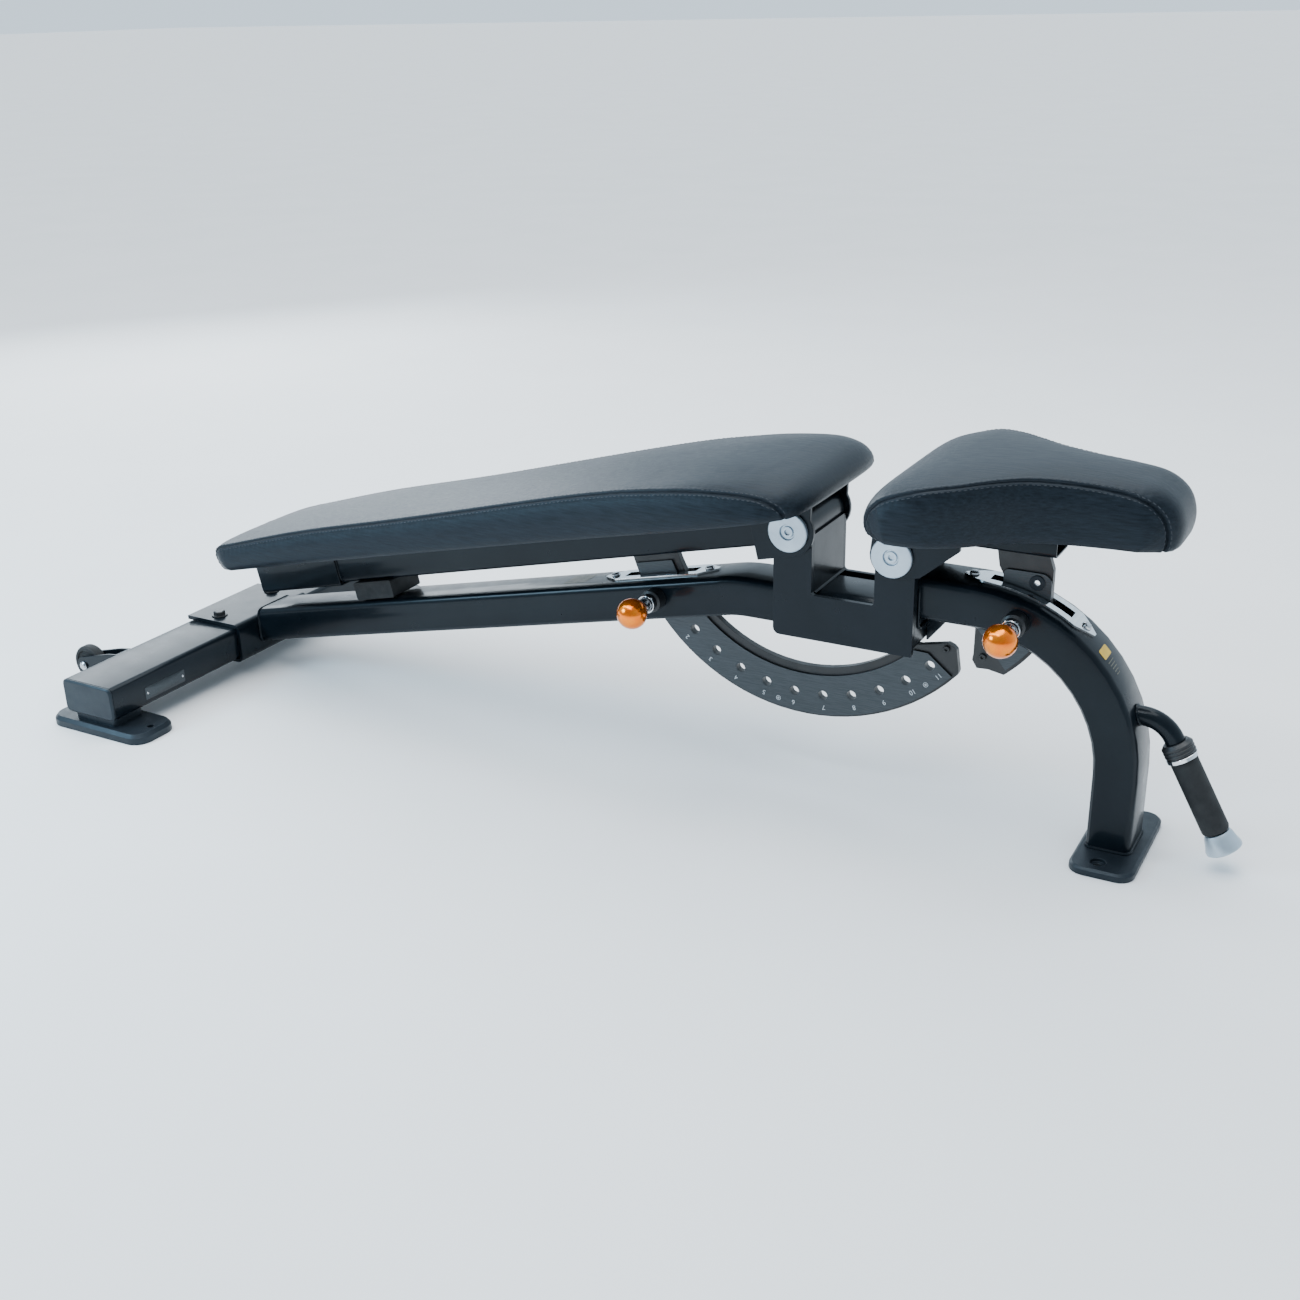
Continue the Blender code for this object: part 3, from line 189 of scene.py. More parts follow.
def zinc_plate():
    """Bright plated fasteners and pins."""
    metal = Finish("zinc_plate", Metallic=1.0)
    return metal.finish(
        Base_Color=metal.blend(metal.noise(120.0), (0.42, 0.43, 0.45), (0.62, 0.63, 0.65)),
        Roughness=metal.between(metal.noise(300.0), 0.18, 0.34),
        Normal=metal.bump(metal.noise(1500.0), 0.1, 0.0002))


def orange_anodised():
    """Glossy orange knob."""
    metal = Finish("orange_anodised", Metallic=0.85, Coat_Weight=0.35, Coat_Roughness=0.06)
    return metal.finish(
        Base_Color=metal.blend(metal.noise(70.0), (1.00, 0.180, 0.000), (1.00, 0.260, 0.001)),
        Roughness=metal.between(metal.noise(200.0), 0.16, 0.24))


def black_rubber():
    """Matte rubber with a fine pimpled skin."""
    rubber = Finish("black_rubber", Specular_IOR_Level=0.35)
    return rubber.finish(
        Base_Color=rubber.blend(rubber.noise(40.0), (0.009, 0.010, 0.011), (0.017, 0.018, 0.019)),
        Roughness=rubber.between(rubber.noise(90.0), 0.62, 0.78),
        Normal=rubber.bump(rubber.cells(700.0, "F1"), 0.35, 0.0003))


def moulded_plastic():
    """Dark blue-grey moulded feet and caps with a spark-eroded grain."""
    plastic = Finish("moulded_plastic", Specular_IOR_Level=0.34, Specular_Tint=(0.76, 0.90, 1.0))
    return plastic.finish(
        Base_Color=plastic.blend(plastic.noise(22.0), (0.0065, 0.0095, 0.0130),
                                 (0.0110, 0.0150, 0.0200)),
        Roughness=plastic.between(plastic.noise(80.0), 0.38, 0.50),
        Normal=plastic.bump(plastic.noise(1100.0, 3.0), 0.3, 0.0003))


def upholstery():
    """Satin blue-grey synthetic leather: pebble grain, fine brushed streaks, soft sheen."""
    skin = Finish("upholstery", Sheen_Weight=0.02, Sheen_Roughness=0.4, Specular_IOR_Level=0.22,
                  Specular_Tint=(0.78, 0.90, 1.0))
    streaks = skin.noise(1.0, 5.0, skin.stretched((38.0, 300.0, 500.0)), 0.62)
    grain = skin.cells(620.0)
    creases = skin.bump(streaks, 0.30, 0.0012)
    pores = skin.bump(skin.noise(1500.0, 2.0), 0.10, 0.0002, creases)
    return skin.finish(
        Base_Color=skin.blend(streaks, (0.0026, 0.0043, 0.0064), (0.0105, 0.0155, 0.0220),
                              0.30, 0.72),
        Roughness=skin.between(streaks, 0.36, 0.50),
        Normal=skin.bump(grain, 0.30, 0.0004, pores))


def thread():
    """Dark twisted sewing thread."""
    strand = Finish("sewing_thread", Specular_IOR_Level=0.4)
    twist = strand.noise(900.0, 1.0)
    return strand.finish(
        Base_Color=strand.blend(twist, (0.009, 0.013, 0.018), (0.028, 0.036, 0.046)),
        Roughness=strand.between(twist, 0.45, 0.65))


def backing_cloth():
    """Black spun-bonded cloth under a pad."""
    cloth = Finish("backing_cloth")
    fibres = cloth.noise(1.0, 3.0, cloth.stretched((900.0, 900.0, 200.0)))
    return cloth.finish(
        Base_Color=cloth.blend(fibres, (0.006, 0.006, 0.007), (0.018, 0.018, 0.020)),
        Roughness=cloth.between(fibres, 0.80, 0.95),
        Normal=cloth.bump(fibres, 0.4, 0.0003))


def yellow_label():
    """Printed yellow film."""
    film = Finish("yellow_label", Coat_Weight=0.1, Coat_Roughness=0.25)
    return film.finish(
        Base_Color=film.blend(film.noise(90.0), (0.78, 0.46, 0.000), (0.90, 0.56, 0.002)),
        Roughness=film.between(film.noise(300.0), 0.35, 0.45))


def bronze_label():
    """Dull gold printed film."""
    film = Finish("bronze_label", Metallic=0.4)
    return film.finish(
        Base_Color=film.blend(film.noise(150.0), (0.09, 0.085, 0.06), (0.15, 0.14, 0.10)),
        Roughness=film.between(film.noise(300.0), 0.38, 0.5))


def laser_white():
    """Pale laser-marked lettering."""
    mark = Finish("laser_mark")
    return mark.finish(
        Base_Color=mark.blend(mark.noise(600.0), (0.42, 0.45, 0.47), (0.62, 0.64, 0.66)),
        Roughness=mark.between(mark.noise(400.0), 0.45, 0.6))


FINISHES = {
    "paint": powder_coat(), "black_steel": black_paint(), "brushed": brushed_steel(),
    "polished": polished_steel(), "aluminium": turned_aluminium(), "zinc": zinc_plate(),
    "orange": orange_anodised(), "rubber": black_rubber(), "plastic": moulded_plastic(),
    "vinyl": upholstery(), "plywood": backing_cloth(),
}
THREAD = thread()
YELLOW = yellow_label()
BRONZE = bronze_label()
MARK = laser_white()


# ---------------------------------------------------------------- CAD nodes
MERGE_DISTANCE = 1e-5
EDGE_RADIUS = {"paint": 0.8 * MM, "plastic": 1.2 * MM, "rubber": 0.8 * MM, "brushed": 0.35 * MM,
               "polished": 0.4 * MM, "zinc": 0.35 * MM, "orange": 0.6 * MM}
EDGE_RADIUS_OTHER = 0.4 * MM
SOFTER_EDGES = {"saddle_bracket": 2.4 * MM, "crossbar_cap_right": 2.6 * MM,
                "crossbar_cap_left": 2.6 * MM}
EDGE_ANGLE = math.radians(30)
EDGE_SEGMENTS = 3


def clean_group():
    """Geometry nodes that join a CAD mesh's split points and shade it smooth."""
    group = bpy.data.node_groups.new("clean_cad_mesh", "GeometryNodeTree")
    group.interface.new_socket("Geometry", in_out="INPUT", socket_type="NodeSocketGeometry")
    group.interface.new_socket("Geometry", in_out="OUTPUT", socket_type="NodeSocketGeometry")
    start = group.nodes.new("NodeGroupInput")
    merge = group.nodes.new("GeometryNodeMergeByDistance")
    merge.inputs["Distance"].default_value = MERGE_DISTANCE
    strip = group.nodes.new("GeometryNodeRemoveAttribute")
    strip.inputs["Name"].default_value = "custom_normal"
    smooth = group.nodes.new("GeometryNodeSetShadeSmooth")
    end = group.nodes.new("NodeGroupOutput")
    chain = [start, merge, strip, smooth, end]
    for before, after in zip(chain, chain[1:]):
        group.links.new(before.outputs[0], after.inputs[0])
    return group


def dress_cad():
    """Give every CAD node its finish and softly rounded edges."""
    group = clean_group()
    slots = {entry["node"]: entry["material_slot"] for entry in frame["record"]["subparts"]}
    for name, node in nodes.items():
        slot = slots[name]
        node.data.materials.clear()
        node.data.materials.append(FINISHES[slot])
        clean = node.modifiers.new("clean", "NODES")
        clean.node_group = group
        bevel = node.modifiers.new("edges", "BEVEL")
        bevel.width = SOFTER_EDGES.get(name, EDGE_RADIUS.get(slot, EDGE_RADIUS_OTHER))
        bevel.segments = EDGE_SEGMENTS
        bevel.limit_method = "ANGLE"
        bevel.angle_limit = EDGE_ANGLE
        bevel.use_clamp_overlap = True
        bevel.harden_normals = True


# ---------------------------------------------------------------- making pieces
SHARP_ANGLE = math.radians(40)
ROUND_SIDES = 32
RING_SOFTENING = 0.3 * MM             # largest rounding of a ring's edges
BEAD_SIDES = 8
BEAD_STEP = 0.9 * MM
RIPPLE_LENGTH = 3.0 * MM
RIPPLE_LOW = 0.82                     # a bead's radius between two ripples, as a share
RIPPLE_RISE = 0.18
REAR = -0.686                         # x of the crossbar's rear face


def from_rear(x, y, z):
    """A point given with x measured from the crossbar's rear face."""
    return Vector((x + REAR, y, z))


def facing(point, direction):
    """A place whose z axis looks along a direction."""
    place = Vector(direction).to_track_quat("Z", "Y").to_matrix().to_4x4()
    place.translation = point
    return place


def add_object(name, data):
    """A new object, linked into the scene."""
    made = bpy.data.objects.new(name, data)
    bpy.context.collection.objects.link(made)
    return made


def new_piece(name, mesh, material, body, smooth=True):
    """Add a piece that rides on a CAD body."""
    piece = add_object(name, mesh)
    mesh.materials.append(material)
    if smooth:
        mesh.shade_smooth()
        mesh.set_sharp_from_angle(angle=SHARP_ANGLE)
    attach(piece, body)
    return piece


def mesh_from(name, model, place=None):
    """Turn a bmesh into a mesh, moved to its place."""
    bmesh.ops.recalc_face_normals(model, faces=model.faces)
    mesh = bpy.data.meshes.new(name)
    model.to_mesh(mesh)
    model.free()
    if place is not None:
        mesh.transform(place)
    return mesh


def turns(count):
    """Angles spaced evenly round a circle."""
    return [TURN * i / count for i in range(count)]


def ring_faces(model, rings):
    """Quads between closed rings of points."""
    count = len(rings[0])
    for lower, upper in zip(rings, rings[1:]):
        for i in range(count):
            j = (i + 1) % count
            model.faces.new((lower[i], lower[j], upper[j], upper[i]))


def lengths_along(points):
    """Length of a line up to each of its points."""
    return list(accumulate(((b - a).length for a, b in zip(points, points[1:])), initial=0.0))


def walk(lengths, targets):
    """The segment of a line, and the share of it, that is reached at each target length."""
    k = 0
    for target in targets:
        while k < len(lengths) - 2 and lengths[k + 1] < target:
            k += 1
        share = (target - lengths[k]) / max(lengths[k + 1] - lengths[k], 1e-12)
        yield k, min(max(share, 0.0), 1.0)


def resample(points, lengths, count):
    """Cut a line into count equal parts, given the length up to each of its points."""
    targets = [lengths[-1] * i / count for i in range(count + 1)]
    return [points[k].lerp(points[k + 1], share) for k, share in walk(lengths, targets)]


def cut_by_step(points, step):
    """Points about a step apart along a line."""
    lengths = lengths_along(points)
    return resample(points, lengths, max(2, round(lengths[-1] / step)))


# ---------------------------------------------------------------- pads
# Each seam runs along one side of its pad, from the underside at one end over the top to the
# underside at the other: (x, height above the underside, half width, bulge of the top panel).
BACK_UNDERSIDE = 0.0305               # height of the pad's underside above its axle
BACK_COLUMNS = 300
BACK_SEAM = [
    (-0.857, 0.000, 0.098, 0.010), (-0.860, 0.012, 0.101, 0.011), (-0.859, 0.024, 0.103, 0.010),
    (-0.850, 0.032, 0.105, 0.007), (-0.820, 0.035, 0.106, 0.0045), (-0.686, 0.042, 0.106, 0.0045),
    (-0.508, 0.044, 0.109, 0.005), (-0.285, 0.050, 0.117, 0.005), (-0.190, 0.051, 0.123, 0.0052),
    (-0.139, 0.049, 0.127, 0.0068), (-0.080, 0.044, 0.130, 0.0105), (-0.035, 0.037, 0.131, 0.014),
    (0.002, 0.028, 0.130, 0.018), (0.022, 0.018, 0.128, 0.021), (0.030, 0.010, 0.126, 0.0220),
    (0.032, 0.004, 0.125, 0.0205), (0.032, 0.000, 0.124, 0.016),
]
SEAT_UNDERSIDE = 0.0425
SEAT_COLUMNS = 130
SEAT_SEAM = [
    (-0.003, 0.000, 0.120, 0.008), (-0.006, 0.011, 0.124, 0.011), (-0.004, 0.023, 0.129, 0.012),
    (0.004, 0.036, 0.133, 0.012), (0.020, 0.048, 0.136, 0.010), (0.055, 0.060, 0.134, 0.0065),
    (0.088, 0.064, 0.118, 0.0058), (0.120, 0.066, 0.092, 0.0060), (0.150, 0.066, 0.071, 0.0070),
    (0.190, 0.064, 0.058, 0.0080), (0.231, 0.060, 0.052, 0.0100), (0.262, 0.053, 0.050, 0.0130),
    (0.279, 0.041, 0.048, 0.0150), (0.286, 0.026, 0.046, 0.0150), (0.287, 0.012, 0.044, 0.0135),
    (0.286, 0.005, 0.043, 0.0110), (0.284, 0.000, 0.042, 0.006),
]
CURVE_STEPS = 24                      # points between two given ones on a smooth seam

CROWN_SQUARE = 5                      # how flat the top panel is across its middle
CROWN_ROUND = 0.55                    # how steeply it leaves the seam
SIDE_BELLY = 7.5 * MM                 # how far a side panel stands out beyond the seam
BELLY_REACH = 13 * MM                 # most of that is reached this far below the seam
BELLY_POWER = 1.3
TUCK = 0.54                           # share of the belly that turns in above the underside
TUCK_HEIGHT = 8 * MM
END_INSET = 26 * MM                   # the side panels fan in to these distances from the ends
STEEPEST_PLAN = (0.8, -0.6)           # a side panel's outward direction turns no further
TOP_ROWS = [row * MM for row in (0, 0.8, 1.6, 2.5, 3.5, 4.8, 6.5, 9, 12.5, 17, 23)]
TOP_MIDDLE = 17                       # further points between the two edge zones
SIDE_ROWS = (0, 0.016, 0.033, 0.053, 0.078, 0.11, 0.15, 0.20, 0.27, 0.36, 0.46, 0.57, 0.69, 0.80,
             0.89, 0.95, 1)

GROOVE_DEPTH = 1.7 * MM
GROOVE_WIDTH = 1.5 * MM
ROLL_HEIGHT = 0.6 * MM                # the folded edge makes a low roll beside the seam
ROLL_AT = 3.6 * MM
ROLL_WIDTH = 2.2 * MM
PUCKER_HEIGHT = 0.22 * MM             # small gathers the thread pulls up beyond the roll
PUCKER_LENGTH = 9.0 * MM
PUCKER_AT = 7 * MM
PUCKER_WIDTH = 5 * MM

VOXEL = 6 * MM                        # of the cloth that is simulated
PRESSURE = 4.0
HELD_BY_SEAM = 7 * MM                 # cloth this near to a seam stays put
HELD_BY_BOARD = 7 * MM                # and so does cloth this near to the underside
CLOTH_FRAMES = 20
SWELL_CAP = 4 * MM
SWELL_NEIGHBOURS = 12                 # cloth points averaged for one point of the skin

STITCH_FROM_SEAM = 3.8 * MM
STITCH_PITCH = 6.0 * MM
STITCH_LENGTH = 4.7 * MM
STITCH_RADIUS = 0.5 * MM
STITCH_DIVE = 1.1                     # how deep its ends go, in radii
# A stitch's thickness along its length: (place from -1 to 1, share of its radius).
STITCH_SHAPE = ((-1.0, 0.35), (-0.72, 0.85), (0.0, 1.0), (0.72, 0.85), (1.0, 0.35))
STITCH_SIDES = 6

BACKING_INSET = 9 * MM
BACKING_THICK = 0.45 * MM
BACKING_STEP = 2 * MM
STAPLE_PITCH = 34 * MM
STAPLE_INSET = 5 * MM
STAPLE_LENGTH = 10 * MM
STAPLE_RADIUS = 0.35 * MM


def smooth_path(points, count):
    """A Catmull-Rom curve through points, evenly spaced by its first two numbers."""
    ends = [points[0]] + list(points) + [points[-1]]
    fine = []
    for i in range(1, len(ends) - 2):
        a, b, c, d = (Vector(point) for point in ends[i - 1:i + 3])
        for k in range(CURVE_STEPS):
            t = k / CURVE_STEPS
            fine.append(0.5 * (2 * b + (c - a) * t + (2 * a - 5 * b + 4 * c - d) * t * t
                               + (3 * b - a - 3 * c + d) * t * t * t))
    fine.append(Vector(points[-1]))
    steps = (math.dist(a[:2], b[:2]) for a, b in zip(fine, fine[1:]))
    return resample(fine, list(accumulate(steps, initial=0.0)), count - 1)


def top_column(point, outward):
    """One row of the top panel from the right seam to the left one."""
    x, height, half, bulge = point
    near = [row for row in TOP_ROWS if row < half]
    reach = near[-1]
    middle = [reach + (2 * half - 2 * reach) * i / (TOP_MIDDLE + 1)
              for i in range(1, TOP_MIDDLE + 1)]
    places = near + middle + [2 * half - row for row in reversed(near)]
    column = []
    for place in places:
        y = place - half
        rise = bulge * max(1 - abs(y / half) ** CROWN_SQUARE, 0.0) ** CROWN_ROUND
        column.append(Vector((x + outward.x * rise, y, height + outward.y * rise)))
    return column


def side_column(point, outward, foot):
    """One row of the right side panel from the seam down to its foot on the underside."""
    x, height, half, _ = point
    straight = Vector((0, -1))
    column = []
    for share in SIDE_ROWS:
        px = x + (foot[0] - x) * share
        py = half + (foot[2] - half) * share
        pz = height * (1 - share)
        from_seam = math.hypot(px - x, pz - height)
        stand = SIDE_BELLY * (1 - math.exp(-(from_seam / BELLY_REACH) ** BELLY_POWER))
        stand *= 1 - TUCK * max(0.0, 1 - pz / TUCK_HEIGHT) ** 2
        aside = outward.lerp(straight, share)
        column.append(Vector((px + aside.x * stand, -py + aside.y * stand, pz)))
    column[-1] = Vector((foot[0], -foot[2] - SIDE_BELLY * (1 - TUCK), 0))
    return column


def seam_relief(distance, along):
    """How far the skin is raised beside the sewn edge."""
    groove = -GROOVE_DEPTH * math.exp(-(distance / GROOVE_WIDTH) ** 2)
    roll = ROLL_HEIGHT * math.exp(-((distance - ROLL_AT) / ROLL_WIDTH) ** 2)
    pucker = PUCKER_HEIGHT * math.exp(-((distance - PUCKER_AT) / PUCKER_WIDTH) ** 2)
    return groove + roll + pucker * math.sin(TURN * along / PUCKER_LENGTH)


class Pad:
    """A sewn pad's skin as a grid of points: one top panel between two side panels."""

    def __init__(self, seam, count):
        points = smooth_path(seam, count)
        low = min(p[0] for p in points) + END_INSET
        high = max(p[0] for p in points) - END_INSET
        inside = [p for p in points if low <= p[0] <= high]
        self.columns = []
        self.along = []
        travelled = 0.0
        for i, point in enumerate(points):
            before = points[max(i - 1, 0)]
            after = points[min(i + 1, count - 1)]
            rising = Vector((after[0] - before[0], after[1] - before[1])).normalized()
            up = Vector((-rising.y, rising.x))
            plan = Vector((before[2] - after[2], -max(after[0] - before[0], 1e-4))).normalized()
            if plan.y > STEEPEST_PLAN[1]:
                plan = Vector((math.copysign(STEEPEST_PLAN[0], plan.x), STEEPEST_PLAN[1]))
            top = top_column(point, up)
            foot = inside[0] if point[0] < low else inside[-1] if point[0] > high else point
            right = side_column(point, plan, foot)
            left = [Vector((p.x, -p.y, p.z)) for p in right]
            self.columns.append(right[:0:-1] + top + left[1:])
            self.along.append(travelled)
            travelled += math.dist(point[:2], after[:2])
        side = len(SIDE_ROWS) - 1
        self.seams = (side, len(self.columns[0]) - 1 - side)

    def distances(self, column):
        """Distance of each point of a column from its nearer seam."""
        lengths = lengths_along(column)
        marks = [lengths[seam] for seam in self.seams]
        return [min(abs(length - mark) for mark in marks) for length in lengths]

    def mesh(self, name):
        """The closed skin."""
        model = bmesh.new()
        grid = [[model.verts.new(point) for point in column] for column in self.columns]
        for first, second in zip(grid, grid[1:]):
            for a, b, c, d in zip(first, first[1:], second[1:], second):
                model.faces.new((a, b, c, d))
            model.faces.new((first[-1], first[0], second[0], second[-1]))
        model.faces.new(grid[0])
        model.faces.new(grid[-1][::-1])
        bmesh.ops.remove_doubles(model, verts=model.verts, dist=1e-6)
        bmesh.ops.dissolve_degenerate(model, edges=model.edges, dist=1e-7)
        return mesh_from(name, model)

    def normals(self):
        """Outward direction at every point of the grid."""
        result = []
        count = len(self.columns)
        for i, column in enumerate(self.columns):
            before = self.columns[max(i - 1, 0)]
            after = self.columns[min(i + 1, count - 1)]
            line = []
            for j in range(len(column)):
                across = column[min(j + 1, len(column) - 1)] - column[max(j - 1, 0)]
                normal = (after[j] - before[j]).cross(across)
                line.append(normal.normalized() if normal.length > 1e-10 else Vector())
            result.append(line)
        return result

    def swell(self, name):
        """Let simulated cloth under light pressure round the panels between the sewn edges."""
        skin = add_object(name + "_cloth", self.mesh(name + "_cloth"))
        remesh = skin.modifiers.new("remesh", "REMESH")
        remesh.mode = "VOXEL"
        remesh.voxel_size = VOXEL
        apply_modifiers(skin)
        start = [vertex.co.copy() for vertex in skin.data.vertices]
        edge = KDTree(2 * len(self.columns))
        for i, column in enumerate(self.columns):
            edge.insert(column[self.seams[0]], 2 * i)
            edge.insert(column[self.seams[1]], 2 * i + 1)
        edge.balance()
        held = skin.vertex_groups.new(name="held")
        for index, place in enumerate(start):
            if edge.find(place)[2] < HELD_BY_SEAM or place.z < HELD_BY_BOARD:
                held.add([index], 1.0, "REPLACE")
        cloth = skin.modifiers.new("cloth", "CLOTH")
        cloth.settings.vertex_group_mass = "held"
        cloth.settings.use_pressure = True
        cloth.settings.uniform_pressure_force = PRESSURE
        cloth.settings.effector_weights.gravity = 0.0
        scene = bpy.context.scene
        for number in range(1, CLOTH_FRAMES + 1):
            scene.frame_set(number)
        swollen = skin.evaluated_get(bpy.context.evaluated_depsgraph_get()).to_mesh()
        moves = [end.co - begin for begin, end in zip(start, swollen.vertices)]
        scene.frame_set(1)
        places = KDTree(len(start))
        for index, place in enumerate(start):
            places.insert(place, index)
        places.balance()
        for column, normals in zip(self.columns, self.normals()):
            for point, normal in list(zip(column, normals))[1:-1]:
                near = places.find_n(point, SWELL_NEIGHBOURS)
                lift = sum(moves[index].dot(normal) for _, index, _ in near) / len(near)
                point += normal * min(max(lift, 0.0), SWELL_CAP)
        bpy.data.objects.remove(skin, do_unlink=True)

    def sew(self):
        """Sink the seams and raise the folded edges beside them."""
        for column, normals, along in zip(self.columns, self.normals(), self.along):
            for point, normal, distance in zip(column, normals, self.distances(column)):
                point += normal * seam_relief(distance, along)
                point.z = max(point.z, 0.0)

    def stitch_lines(self):
        """The four lines of stitches as (points, surface directions)."""
        normals = self.normals()
        lines = []
        for seam in self.seams:
            for step in (-1, 1):
                line = []
                for column, directions in zip(self.columns, normals):
                    j = seam
                    walked = 0.0
                    while walked < STITCH_FROM_SEAM and 0 < j < len(column) - 1:
                        walked += (column[j + step] - column[j]).length
                        j += step
                    line.append((column[j], directions[j]))
                lines.append(line)
        return lines


def apply_modifiers(piece):
    """Replace an object's mesh by what its modifiers make of it."""
    shown = piece.evaluated_get(bpy.context.evaluated_depsgraph_get())
    mesh = bpy.data.meshes.new_from_object(shown)
    piece.modifiers.clear()
    piece.data = mesh


def capsule(model, centre, along, up, length, radius):
    """Add one stitch: a short thread that dives at both ends."""
    across = along.cross(up).normalized()
    rings = []
    for share, size in STITCH_SHAPE:
        dive = up * (radius * STITCH_DIVE * share * share)
        middle = centre + along * (share * length / 2) - dive
        rings.append([model.verts.new(middle + (across * math.cos(turn) + up * math.sin(turn))
                                      * radius * size)
                      for turn in turns(STITCH_SIDES)])
    ring_faces(model, rings)
    model.faces.new(rings[0][::-1])
    model.faces.new(rings[-1])


def stitches(name, pad, place, body):
    """Rows of thread either side of both seams."""
    model = bmesh.new()
    for line in pad.stitch_lines():
        lengths = lengths_along([point for point, _ in line])
        targets = [i * STITCH_PITCH for i in range(1, int(lengths[-1] / STITCH_PITCH))]
        for k, share in walk(lengths, targets):
            (a, up), (b, _) = line[k], line[k + 1]
            if (b - a).length < 1e-6 or up.length < 0.5:
                continue
            capsule(model, a.lerp(b, share), (b - a).normalized(), up, STITCH_LENGTH,
                    STITCH_RADIUS)
    return new_piece(name, mesh_from(name, model, place), THREAD, body)


def backing(name, pad, place, body):
    """Black cloth stapled over the raw edge of the cover, under the pad."""
    edge = []
    for column in pad.columns:
        foot = column[0]
        if not edge or foot.x - edge[-1].x > BACKING_STEP:
            edge.append(Vector((foot.x, foot.y + BACKING_INSET, 0)))
    outline = edge + [Vector((p.x, -p.y, 0)) for p in reversed(edge)]
    model = bmesh.new()
    rings = [[model.verts.new(p + Vector((0, 0, lift))) for p in outline]
             for lift in (0, -BACKING_THICK)]
    ring_faces(model, rings)
    model.faces.new(rings[0])
    model.faces.new(rings[1][::-1])
    new_piece(name + "_backing", mesh_from(name, model, place), FINISHES["plywood"], body,
              smooth=False)
    model = bmesh.new()
    run = cut_by_step(outline + outline[:1], STAPLE_PITCH)
    centre = sum(run, Vector()) / len(run)
    for before, after in zip(run, run[1:]):
        along = (after - before).normalized()
        inward = Vector((-along.y, along.x, 0))
        if inward.dot(centre - before) < 0:
            inward = -inward
        spot = before.lerp(after, 0.5) + inward * STAPLE_INSET - Vector((0, 0, BACKING_THICK))
        capsule(model, spot, along, Vector((0, 0, -1)), STAPLE_LENGTH, STAPLE_RADIUS)
    new_piece(name + "_staples", mesh_from(name, model, place), FINISHES["zinc"], body)


def make_pad(name, seam, underside, count, place, body, replaced):
    """A sewn pad with its stitching and the cloth under it."""
    pad = Pad(seam, count)
    pad.swell(name)
    pad.sew()
    lifted = place @ Matrix.Translation((0, 0, underside))
    mesh = pad.mesh(name)
    mesh.transform(lifted)
    skin = new_piece(name, mesh, FINISHES["vinyl"], body)
    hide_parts(*replaced)
    stitches(name + "_stitches", pad, lifted, body)
    backing(name, pad, lifted, body)


# ---------------------------------------------------------------- small pieces
def revolve(name, profile, place, material, body, sides=ROUND_SIDES, hexagon=()):
    """A turned piece from (radius, height) points; the steps listed in hexagon have six sides."""
    model = bmesh.new()
    rings = []
    for k, (radius, height) in enumerate(profile):
        ring = []
        for turn in turns(sides):
            reach = radius
            if k in hexagon:
                within = (turn % (math.pi / 3)) - math.pi / 6
                reach = radius * math.cos(math.pi / 6) / math.cos(within)
            ring.append(model.verts.new((reach * math.cos(turn), reach * math.sin(turn), height)))
        rings.append(ring)
    ring_faces(model, rings)
    model.faces.new(rings[0][::-1])
    model.faces.new(rings[-1])
    bmesh.ops.remove_doubles(model, verts=model.verts, dist=1e-7)
    return new_piece(name, mesh_from(name, model, place), material, body)


def ring_piece(name, inner, outer, heights, place, material, body):
    """A washer with softened edges."""
    low, high = heights
    soft = min(RING_SOFTENING, (outer - inner) / 4, (high - low) / 3)
    section = [(inner, low), (outer - soft, low), (outer, low + soft), (outer, high - soft),
               (outer - soft, high), (inner + soft, high), (inner, high - soft)]
    model = bmesh.new()
    rings = [[model.verts.new((radius * math.cos(turn), radius * math.sin(turn), height))
              for radius, height in section]
             for turn in turns(ROUND_SIDES)]
    ring_faces(model, rings + rings[:1])
    return new_piece(name, mesh_from(name, model, place), material, body)


def socket_screw(name, radius, height, place, material, body):
    """A cap screw with a hexagon socket."""
    soft = 0.12 * radius
    profile = [(radius, -0.2 * MM), (radius, height - soft), (radius - soft, height),
               (radius * 0.58, height), (radius * 0.54, height - 0.1 * MM),
               (radius * 0.54, height * 0.35), (radius * 0.05, height * 0.30)]
    return revolve(name, profile, place, material, body, 36, hexagon=(4, 5))


def bead(name, points, outward, radius, body, closed=True):
    """A weld bead: a rippled fillet run along points, leaning to an outward direction."""
    line = cut_by_step(points + points[:1] if closed else points, BEAD_STEP)
    model = bmesh.new()
    rings = []
    count = len(line) - 1 if closed else len(line)
    for i in range(count):
        after = line[(i + 1) % len(line)] if closed else line[min(i + 1, len(line) - 1)]
        before = line[i - 1] if i else (line[-2] if closed else line[0])
        along = (after - before).normalized()
        side = along.cross(outward).normalized()
        wave = abs(math.sin(math.pi * i * BEAD_STEP / RIPPLE_LENGTH))
        ripple = RIPPLE_LOW + RIPPLE_RISE * wave
        rings.append([model.verts.new(line[i] + (side * math.cos(turn) + outward * math.sin(turn))
                                      * radius * ripple)
                      for turn in turns(BEAD_SIDES)])
    ring_faces(model, rings + rings[:1] if closed else rings)
    if not closed:
        model.faces.new(rings[0][::-1])
        model.faces.new(rings[-1])
    return new_piece(name, mesh_from(name, model), FINISHES["paint"], body)


def rounded_loop(half_wide, half_high, radius, steps=5):
    """Corner points of a rounded rectangle about the origin."""
    loop = []
    for corner in range(4):
        middle = (half_wide - radius) * (1 if corner in (0, 3) else -1)
        middle_up = (half_high - radius) * (1 if corner < 2 else -1)
        for i in range(steps + 1):
            turn = math.pi / 2 * (corner + i / steps)
            loop.append((middle + radius * math.cos(turn), middle_up + radius * math.sin(turn)))
    return loop


